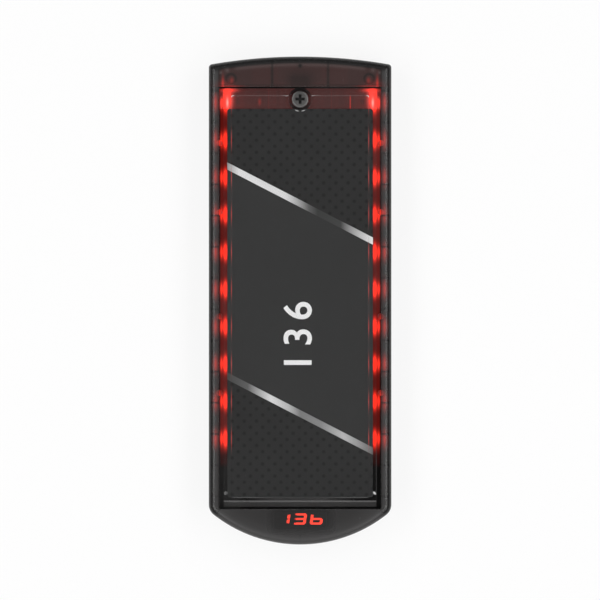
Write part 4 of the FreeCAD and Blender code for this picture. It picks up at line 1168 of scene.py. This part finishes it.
def make_smoke_plastic():
    """Smoke-tinted clear plastic, with painted red lamp light beside the lamps and painted highlights and
    shade in its colour.
    """
    material, wires, shader = new_material("smoke plastic", SMOKE, Emission_Strength=1.35,
                                           Specular_IOR_Level=0.38)
    at = smoke_places(wires)
    lamps = lamp_light(wires, at)
    rib, rail_light = rail_marks(wires, at)
    cap = cap_marks(at)
    amount = lamps + strip_light(wires, at) + (rail_light + cap.light) * at.on_top
    tint = wires.mix(oval(at, HOT_SPOT) * at.on_floor, lamp_tint(wires, amount), HOT_RED)
    wires.plug(shader.inputs["Emission Color"], tint)

    slope_top = WINDOW_END + END_BEVEL
    slope_zone = at.y.between(WINDOW_END + 0.1 * MM, slope_top + 0.2 * MM) * at.side.between(-MM, WINDOW_SIDE)
    step_zone = at.y.between(slope_top, PANEL_END) * at.side.between(-9 * MM, 18 * MM, 8 * MM)
    end_zone = at.on_floor * slope_zone.at_least(step_zone)
    in_channel = (1 - at.above_card).at_least(1 - at.under_window)
    # Painted shade on the recess floor beside and under the card, above the window's top end and in the
    # screw's well.
    painted_floor_shade = at.on_floor * in_channel.at_least(at.painted_shade_and_glint_at_screw) * (1 - end_zone)
    edge_height = at.z.between(CASE_LOW.z, CASE_HIGH.z - 0.45 * MM, 0.2 * MM)
    # Painted shade on the outer wall and the lower part of its round edge, but not on the chin or the floor.
    painted_edge_shade = edge_height * (1 - at.in_chin.at_least(at.on_floor))
    # All painted shade together, which turns the plastic near black: on the floor, over the ribs, over the
    # cap's inner parts and on the outer wall.
    dark = painted_floor_shade + rib * 0.6 + cap.parts * 0.6 + painted_edge_shade * 0.6
    strip_zone = at.on_floor * at.above_card * at.under_window
    # Painted highlight along each rail's top, from its flat into its round edge.
    painted_rail_highlight = at.side.between(*mm(34.1, 36.3, 0.35)) * at.y.between(RECESS_END, 96 * MM, MM)
    from_chin_edge = CHIN_ARC - length_of(at.x, at.y - (CASE_LOW.y + CHIN_ARC))
    # Screen colours laid over the plastic's own, one after the other, each where its mask is.
    layers = [((at.in_cap * cap.inside_rim * at.between_rails).at_least(strip_zone), (66, 63, 62)),
              (at.in_chin, (53, 52, 52)),
              (end_zone, (60, 59, 59)),
              # Lighter painted highlight on the rails.
              (at.on_top * painted_rail_highlight, (79, 78, 78)),
              # Near-black painted shade.
              (dark.at_most(1), (11, 10, 10)),
              # Lighter painted highlight band and patches in the cap.
              (cap.painted_highlight, (86, 82, 81)),
              # Painted highlight: the chin lighter towards its lower edge.
              (at.in_chin * from_chin_edge.ramp(4 * MM, 0.3 * MM), (70, 69, 69))]

    def paint(tone):
        for mask, levels in layers:
            tone = wires.mix(mask, tone, rgb(levels))
        return tone

    surface_on(wires, shader, SMOKE, 0.22, grain=1800, bump=0.02, mottle=0.06, wear=0.3, paint=paint)
    wires.plug(shader.inputs["Alpha"], smoke_cover(at, lamps, dark, end_zone))
    return material


def set_emission(wires, shader, amount):
    """Emission whose colour is the lamp's red times a varying amount."""
    wires.plug(shader.inputs["Emission Color"], lamp_tint(wires, amount))
    shader.inputs["Emission Strength"].default_value = 1


def make_rib_plastic(name, lit_end=0):
    """The same plastic where it stands thick: nearly black, with painted red lamp light near a lamp, weaker
    below lit_end.
    """
    material, wires, shader = new_material(name, THICK_SMOKE, Specular_IOR_Level=0.2)
    surface_on(wires, shader, THICK_SMOKE, 0.4, bump=0)
    _, _, z, _ = wires.object_parts()
    share = z.between(lit_end, CASE_HIGH.z + MM, 0.3 * MM) * 0.5 + 0.35
    set_emission(wires, shader, glow_on(wires, *RIB_LOBE) * share)
    return material


# ---- clear plastic

CLEAR_INDEX = 1.45
EDGE_TONE = (0.12, 0.12, 0.12, 1)
# White of the painted highlight lines and glints on the window's edges.
PAINTED_HIGHLIGHT_WHITE = (0.75, 0.75, 0.75, 1)
# Stretch of the flange's right side edge with a painted sheen, which also hides more of what lies under it.
PAINTED_SHEEN_STRETCH = mm(-81, -60)


def make_clear_plastic(name, roughness, haze):
    """Clear polished plastic: it mirrors as glass does and shows what is under it."""
    material, wires, shader = new_material(name, (0.9, 0.9, 0.9, 1), Metallic=1.0, Roughness=roughness)
    parts = wires.group(SURFACE, Mottle_Scale=35)
    wires.plug(shader.inputs["Roughness"], parts["Marks"] * 0.1 + roughness)
    behind = wires.value("ShaderNodeNewGeometry", output="Backfacing")
    index = CLEAR_INDEX - behind * (CLEAR_INDEX - 1 / CLEAR_INDEX)
    mirror = wires.value("ShaderNodeFresnel", {"IOR": index})
    wires.plug(shader.inputs["Alpha"], mirror + parts["Mottle"] * haze)
    return material


def make_lit_edge():
    """Sloped side of the clear panel, with painted red lamp light beside each lamp and a painted sheen on a
    stretch of the flange's right side edge.
    """
    material, wires, shader = new_material("side edge with painted light", EDGE_TONE, Specular_IOR_Level=0.2)
    surface_on(wires, shader, EDGE_TONE, 0.35, bump=0, wear=0)
    x, y, *_ = wires.object_parts()
    glow = glow_on(wires, *EDGE_LOBE)
    set_emission(wires, shader, glow * 0.9)
    painted_edge_sheen = x.above(PANEL_SIDE + MM) * y.between(*PAINTED_SHEEN_STRETCH, 3 * MM) * 0.5
    wires.plug(shader.inputs["Alpha"], glow * 0.3 + painted_edge_sheen + 0.06)
    return material


def make_painted_highlight_edge():
    """Edge of the clear plastic painted frosted white: a painted highlight line along its length, with
    painted glints at the panel's upper corners, beside the screw, on the lower rim of the screw's well and on
    the bumps.
    """
    material, wires, shader = new_material("painted highlight edge", PAINTED_HIGHLIGHT_WHITE, Roughness=0.3)
    parts = surface_on(wires, shader, PAINTED_HIGHLIGHT_WHITE, 0.3, grain=3000, bump=0.1, wear=0)
    x, y, *_ = wires.object_parts()
    side = abs(x)
    at_top = y.above(0)
    on_panel = at_top * y.above(PANEL_TOP - 2 * MM)
    corner = (side - (PANEL_SIDE - 0.5 * MM)).bell(0.6 * MM)
    beside_screw = (side - 5.4 * MM).bell(1.6 * MM) * 0.25
    # Painted glints at the panel's upper corners and beside the screw.
    painted_panel_glints = on_panel * corner.at_least(beside_screw)
    # Painted glints on the lower rim of the screw's well.
    painted_shade_and_glint_at_screw = (side - 1.3 * MM).bell(0.7 * MM) * (at_top - on_panel)
    from_x = side - (WINDOW_SIDE - BUMP_RADIUS)
    from_y = y - BUMP_Y
    # Painted glint on each bump, bright on the right one and faint on the left.
    glint = (from_x - from_y).bell(1.1 * MM) * (from_x + from_y).bell(0.5 * MM) * (x.above(0) * 0.94 + 0.06)
    bump = glint * side.above(PANEL_SIDE + MM)
    middle = side.between(-9 * MM, 15 * MM, 6 * MM) * y.between(PANEL_END - 0.5 * MM, PANEL_TOP - 2 * MM)
    # Painted highlight line along the edges, weaker on the upper half and weaker still in the middle of the
    # panel's lower end.
    line = (parts["Mottle"] + 0.6) * (0.1 - (at_top * 0.03 + middle * 0.06))
    wires.plug(shader.inputs["Alpha"], line + painted_panel_glints + bump + painted_shade_and_glint_at_screw)
    return material


# ---- card, metal, board and lamps

# Brightness along each silver stripe: place across the card, from 0 to 1, and screen level.
UPPER_SHINE = ((0, 150), (0.08, 232), (0.4, 226), (0.56, 96), (0.62, 62), (0.78, 70), (0.88, 178), (1, 236))
LOWER_SHINE = ((0, 70), (0.14, 96), (0.3, 224), (0.42, 190), (0.5, 128), (0.64, 140), (0.8, 192), (1, 104))


def make_card_print():
    """Black card with a fine dot grid, two slanting silver stripes and a plain field between them."""
    material, wires, shader = new_material("printed card", grey(46), Specular_IOR_Level=0.15)
    x, y, *_ = wires.object_parts()

    def stripe(middle_y, shine):
        """Distance below a slanting line, and the stripe's mask and brightness along it."""
        below = middle_y - x * STRIPE_SLOPE - y
        mask = below.between(-STRIPE_HALF, STRIPE_HALF, 0.06 * MM)
        colour = wires.shades(x.ramp(CARD_LOW.x, CARD_HIGH.x), [(at, grey(shade)) for at, shade in shine])
        return below, mask, colour

    def dots(start):
        """Grid of soft round dots."""
        across, along = (part + shift for part, shift in zip((x, y), start))
        near = [turn - turn.rounded() for turn in (across / DOT_PITCH, along / DOT_PITCH)]
        return length_of(near[0] * DOT_PITCH, near[1] * DOT_PITCH).ramp(0.95 * MM, 0.45 * MM)

    below_upper, upper, upper_colour = stripe(UPPER_STRIPE, UPPER_SHINE)
    below_lower, lower, lower_colour = stripe(LOWER_STRIPE, LOWER_SHINE)
    dot = dots(DOT_START).at_least(dots(DOT_START + HALF_PITCH))
    outside = below_upper.below(-STRIPE_HALF).at_least(below_lower.above(STRIPE_HALF))

    def paint(tone):
        tone = wires.mix(1 - outside, tone, grey(54))
        tone = wires.mix(dot * outside, tone, grey(34))
        tone = wires.mix(upper, tone, upper_colour)
        return wires.mix(lower, tone, lower_colour)

    surface_on(wires, shader, grey(46), 0.5, grain=4000, bump=0.03, mottle=0.08, wear=0, paint=paint)
    return material


def make_brushed_steel():
    """Plated screw steel with fine turning marks round its axis."""
    steel = rgb((122, 121, 120))
    material, wires, shader = new_material("plated steel", steel, Metallic=1.0)
    parts = surface_on(wires, shader, steel, 0.36, grain=3500, bump=0, mottle=0.2, wear=0.8,
                       worn=rgb((175, 175, 173)))
    *_, place = wires.object_parts()
    from_screw = wires.moved(place, Location=-SCREW_PLACE)
    rings = wires.value("ShaderNodeTexWave", {"Vector": from_screw, "Scale": 900, "Distortion": 1.5,
                                              "Detail": 3}, "Fac", wave_type="RINGS", rings_direction="Z")
    wires.plug(shader.inputs["Normal"], wires.bump(rings + parts["Marks"] * 0.5, 0.12, 0.03 * MM))
    return material


def make_board_laminate():
    """Dark solder mask with thin copper tracks under it, with painted red lamp light beside the lamps and a
    weak painted red glow under the cap.
    """
    base, track = rgb((26, 38, 30)), rgb((44, 66, 48))
    material, wires, shader = new_material("board laminate", base)
    _, y, _, place = wires.object_parts()
    turned = wires.moved(place, Rotation=(0, 0, math.pi / 4))
    brick = wires.value("ShaderNodeTexBrick", {"Vector": turned, "Scale": 260, "Mortar Size": 0.03,
                                               "Color1": BLACK, "Color2": BLACK, "Mortar": WHITE}, "Color")
    surface_on(wires, shader, base, 0.4, bump=0.05, paint=lambda tone: wires.mix(brick, tone, track))
    set_emission(wires, shader, glow_on(wires, *BOARD_LOBE) * 0.35 + y.above(RECESS_TOP) * 0.06)
    return material


def make_lit(name, colour, strength, speckle=0.1):
    """A lit lens: its own light with a slightly uneven glow."""
    material, wires, shader = new_material(name, colour, Emission_Strength=strength)
    parts = surface_on(wires, shader, colour, 0.25, bump=0.02, wear=0)
    uneven = wires.mix(parts["Mottle"], scaled(colour, 1 - speckle), colour)
    wires.plug(shader.inputs["Emission Color"], uneven)
    return material


def make_plain(name, levels, roughness, metallic=0.0, grain=2500, bump=0.06, mottle=0.12):
    material, wires, shader = new_material(name, rgb(levels), Metallic=metallic)
    surface_on(wires, shader, rgb(levels), roughness, grain, bump, mottle)
    return material


# Finish of each plain material slot: screen colour, roughness, metallic, grain per metre and bump.
FINISHES = {
    "rear_plastic": ((38, 37, 37), 0.5, 0.0, 1600, 0.35),
    "dark_screw": ((70, 70, 72), 0.35, 1.0, 2500, 0.05),
    "foot_rubber": ((32, 32, 32), 0.75, 0.0, 1500, 0.4),
    "insert_brass": ((198, 162, 96), 0.35, 1.0, 3000, 0.08),
    "small_screw": ((160, 160, 160), 0.3, 1.0, 3000, 0.05),
    "chip_ceramic": ((40, 38, 36), 0.45, 0.0, 4000, 0.1),
    "display_black": ((14, 14, 14), 0.5, 0.0, 2000, 0.2),
    "chip_epoxy": ((36, 36, 37), 0.55, 0.0, 3500, 0.25),
    "can_metal": ((186, 186, 184), 0.28, 1.0, 2500, 0.05),
    "can_sleeve": ((30, 36, 60), 0.35, 0.0, 2000, 0.05),
    "module_laminate": ((24, 52, 36), 0.4, 0.0, 2500, 0.08),
    "shield_tin": ((176, 176, 172), 0.38, 1.0, 1800, 0.12),
    "antenna_copper": ((196, 118, 78), 0.35, 1.0, 2500, 0.08),
    "buzzer_black": ((28, 28, 29), 0.5, 0.0, 2200, 0.2),
    "battery_wrap": ((36, 92, 70), 0.3, 0.0, 1200, 0.06),
    "foam_grey": ((70, 70, 72), 0.9, 0.0, 1400, 0.8),
    "wire_red": ((150, 24, 20), 0.4, 0.0, 2500, 0.08),
    "wire_black": ((26, 26, 26), 0.4, 0.0, 2500, 0.08),
    "connector_white": ((216, 212, 200), 0.45, 0.0, 2500, 0.1),
    "motor_steel": ((170, 170, 168), 0.3, 1.0, 2500, 0.08),
    "shaft_steel": ((190, 190, 190), 0.2, 1.0, 3500, 0.04),
    "weight_metal": ((140, 136, 130), 0.45, 1.0, 2200, 0.2),
    "holder_rubber": ((34, 34, 34), 0.8, 0.0, 1600, 0.35),
    "contact_plate": ((212, 196, 150), 0.25, 1.0, 3000, 0.06),
    "spring_bronze": ((196, 150, 96), 0.3, 1.0, 3000, 0.06),
}


# ---- putting it together

smoke = make_smoke_plastic()
finish_piece(make_front_shell(), "case", smoke, ["front_case"])
rib_plastic = make_rib_plastic("thick smoke plastic")
finish_piece(make_front_ribs(), "case", rib_plastic, ["front_case"])
finish_piece(make_front_bosses(), "case", rib_plastic, ["front_case"])
# The pegs' painted red light is strongest on their tops.
peg_plastic = make_rib_plastic("peg smoke plastic", FLOOR_Z + STOP_HEIGHT - 0.4 * MM)
finish_piece(make_window_stops(), "case", peg_plastic, ["front_case"])

plain = {slot: make_plain(slot.replace("_", " "), *finish) for slot, finish in FINISHES.items()}
plain["board_laminate"] = make_board_laminate()
plain["printed_card"] = make_card_print()
plain["led_package"] = make_lit("lamp lens", (1.0, 0.05, 0.03, 1), 0.9)
plain["segment_red"] = make_lit("digit bars", (1.0, 0.05, 0.025, 1), 3.3)
plain["bright_screw"] = make_brushed_steel()
# Near-black material for the painted shade inside the screws' crosses.
CROSS_PAINTED_SHADE = make_plain("cross painted shade", (14, 14, 14), 0.8, bump=0.2)

rear_shell = smooth_copy("rear_case", "rear_shell")
finish_piece(rear_shell, "case", plain["rear_plastic"], ["rear_case"])


def window_finish(middle, normal):
    """Which finish a face of the window has: 0 polished, 1 side edge with painted red light, or 2 edge with
    painted highlight and glints.
    """
    outside_panel = abs(middle.x) > PANEL_SIDE + MM
    on_bump_top = middle.z > FLANGE_Z + BUMP_HEIGHT / 2 and outside_panel
    under_flange = middle.z < FLANGE_Z - 0.2 * MM and middle.y > BUMP_Y
    if not 0.05 < normal.z < 0.985 or under_flange:
        return 2 if on_bump_top else 0
    if from_axis(middle, SCREW_PLACE) < HEAD_RECESS + 0.4 * MM:
        # Only the well's lower rim gets the painted glints.
        return 2 if middle.y < SCREW_PLACE.y - 3.6 * MM else 0
    if middle.y < WINDOW_END + END_BEVEL - 0.4 * MM:
        return 2 if on_bump_top else 0
    below_panel_top = middle.y < PANEL_TOP + 0.1 * MM
    across = abs(normal.y) > abs(normal.x) and below_panel_top
    on_corner = abs(middle.x) > PANEL_SIDE - MM and PANEL_TOP - MM < middle.y and below_panel_top
    on_bump = abs(middle.y - BUMP_Y) < MM and outside_panel
    return 2 if across or on_corner or on_bump else 1


window = make_window()
clear = make_clear_plastic("clear plastic", 0.04, 0.012)
finish_piece(window, "window", clear, ["label_window"])
window.data.materials.append(make_lit_edge())
window.data.materials.append(make_painted_highlight_edge())
for face in window.data.polygons:
    face.material_index = window_finish(face.center, face.normal)

screw = make_pan_screw("window_screw", SCREW_PLACE, (HEAD_RADIUS, HEAD_SEAT, SCREW_HIGH.z),
                       (SHANK_RADIUS, SCREW_LOW.z), LABEL_DRIVE, plain["bright_screw"])
finish_piece(screw, "screw", None, ["label_screw"])

finish_piece(make_display_housing(), "case", plain["display_black"], ["display_housing"])
lit_bars, unlit_bars = make_digit_bars()
finish_piece(lit_bars, "case", plain["segment_red"], ["display_segments"])
unlit_black = make_plain("unlit bars", (15, 14, 14), 0.5)
finish_piece(unlit_bars, "case", unlit_black, ["display_segments"])

ink = make_plain("label ink", (232, 232, 232), 0.5, bump=0.03, mottle=0.03)
finish_piece(make_label_number(), "case", ink)

CASE_SCREW_LOW, CASE_SCREW_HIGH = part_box("case_screws")
for index, place in enumerate(CASE_SCREW_PLACES, 1):
    obj = make_pan_screw(f"case_screw_{index}", place, (CASE_HEAD_RADIUS, CASE_HEAD_SEAT, CASE_SCREW_LOW.z),
                         (CASE_SHANK_RADIUS, CASE_SCREW_HIGH.z), CASE_DRIVE, plain["dark_screw"], up=-1)
    finish_piece(obj, "case", None, ["case_screws"])

FEET_LOW, FEET_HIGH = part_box("rubber_feet")
foot_x = FEET_HIGH.x - FOOT_RADIUS
foot_rows = (FEET_HIGH.y - FOOT_RADIUS, FEET_LOW.y + FOOT_RADIUS)
foot_places = [(x, y) for x in (foot_x, -foot_x) for y in foot_rows]
for index, place in enumerate(foot_places, 1):
    foot = make_foot(f"foot_{index}", place, FEET_LOW.z, FEET_HIGH.z)
    finish_piece(foot, "case", plain["foot_rubber"], ["rubber_feet"])

CONTACT_LOW, CONTACT_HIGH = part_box("charge_contacts")
contact_x = CONTACT_HIGH.x - STUD_FLANGE
contact_y = (CONTACT_LOW.y + CONTACT_HIGH.y) / 2
for side, word in zip(SIDES, ("left", "right")):
    contact = make_contact(f"contact_{word}", (side * contact_x, contact_y), CONTACT_LOW.z, CONTACT_HIGH.z)
    finish_piece(contact, "case", plain["contact_plate"], ["charge_contacts"])

for obj in frame["nodes"].values():
    slot = next(iter(obj.data.materials)).name.split(".")[0]
    if slot in plain:
        obj.data.materials.clear()
        obj.data.materials.append(plain[slot])


# ---- studio

# Brightness of the dome at heights from the horizon, 0, to overhead, 1.
DOME_SHADES = ((0.07, 1.0), (0.16, 0.14), (0.84, 0.13), (0.95, 0.03))
# Each area light: name, place, size and power. The first two stand on both sides.
PAIRED_LIGHTS = (("side light", (0.72, 0, 1.05), (1.6, 0.6), 8.5),
                 ("back light", (0.55, 1.05, 0.9), (0.16, 0.16), 1.2))
MIDDLE_LIGHTS = (("front light", (0, -0.75, 1.05), (1.2, 0.9), 3.2),
                 ("low front light", (0, -1.3, 0.5), (1.4, 0.4), 0.8))


def make_floor():
    """Pale floor that the camera sees as white, with the object's soft shadow on it."""
    bpy.ops.object.select_all(action="DESELECT")
    bpy.ops.mesh.primitive_plane_add(size=8, location=(0, 0, 0))
    floor = named("floor")
    material, wires, shader = new_material("floor", (0.92, 0.92, 0.92, 1), Roughness=0.9)
    path = wires.node("ShaderNodeLightPath").outputs
    camera, glossy, through = (Feed(wires, path[f"Is {kind} Ray"]) for kind in (
        "Camera", "Glossy", "Transmission"))
    seen = camera.at_least(glossy.at_least(through)) * 0.85
    white = wires.value("ShaderNodeEmission", {"Color": WHITE, "Strength": 1})
    mixed = wires.value("ShaderNodeMixShader", {0: seen, 1: Feed(wires, shader.outputs[0]), 2: white})
    wires.plug(material.node_tree.nodes["Material Output"].inputs["Surface"], mixed)
    floor.data.materials.append(material)


def make_light(name, place, size, power):
    data = bpy.data.lights.new(name, "AREA")
    data.shape = "RECTANGLE"
    data.size, data.size_y = size
    data.energy = power
    light = bpy.data.objects.new(name, data)
    bpy.context.scene.collection.objects.link(light)
    light.location = place
    light.rotation_euler = (-Vector(place)).to_track_quat("-Z", "Y").to_euler()


def make_world():
    """Studio dome: white at the horizon, dim above it and black overhead, so that dark gloss stays dark."""
    world = bpy.data.worlds.new("studio")
    bpy.context.scene.world = world
    world.use_nodes = True
    wires = Wires(world.node_tree)
    direction = wires.value("ShaderNodeTexCoord", output="Generated")
    height = wires.value("ShaderNodeSeparateXYZ", {0: direction}, 2)
    stops = [(at, (shade, shade, shade, 1)) for at, shade in DOME_SHADES]
    wires.plug(world.node_tree.nodes["Background"].inputs["Color"], wires.shades(height, stops))


def make_camera():
    data = bpy.data.cameras.new("camera")
    data.sensor_width = SENSOR
    data.lens = SENSOR * CAMERA_HEIGHT / VIEW_WIDTH
    camera = bpy.data.objects.new("camera", data)
    bpy.context.scene.collection.objects.link(camera)
    camera.location = (*CAMERA_SHIFT, CASE_HIGH.z + CAMERA_HEIGHT)
    bpy.context.scene.camera = camera


make_floor()
make_world()
for side in SIDES:
    for name, (x, y, z), size, power in PAIRED_LIGHTS:
        make_light(name, (side * x, y, z), size, power)
for light in MIDDLE_LIGHTS:
    make_light(*light)
make_camera()
bpy.context.scene.view_settings.view_transform = "Standard"
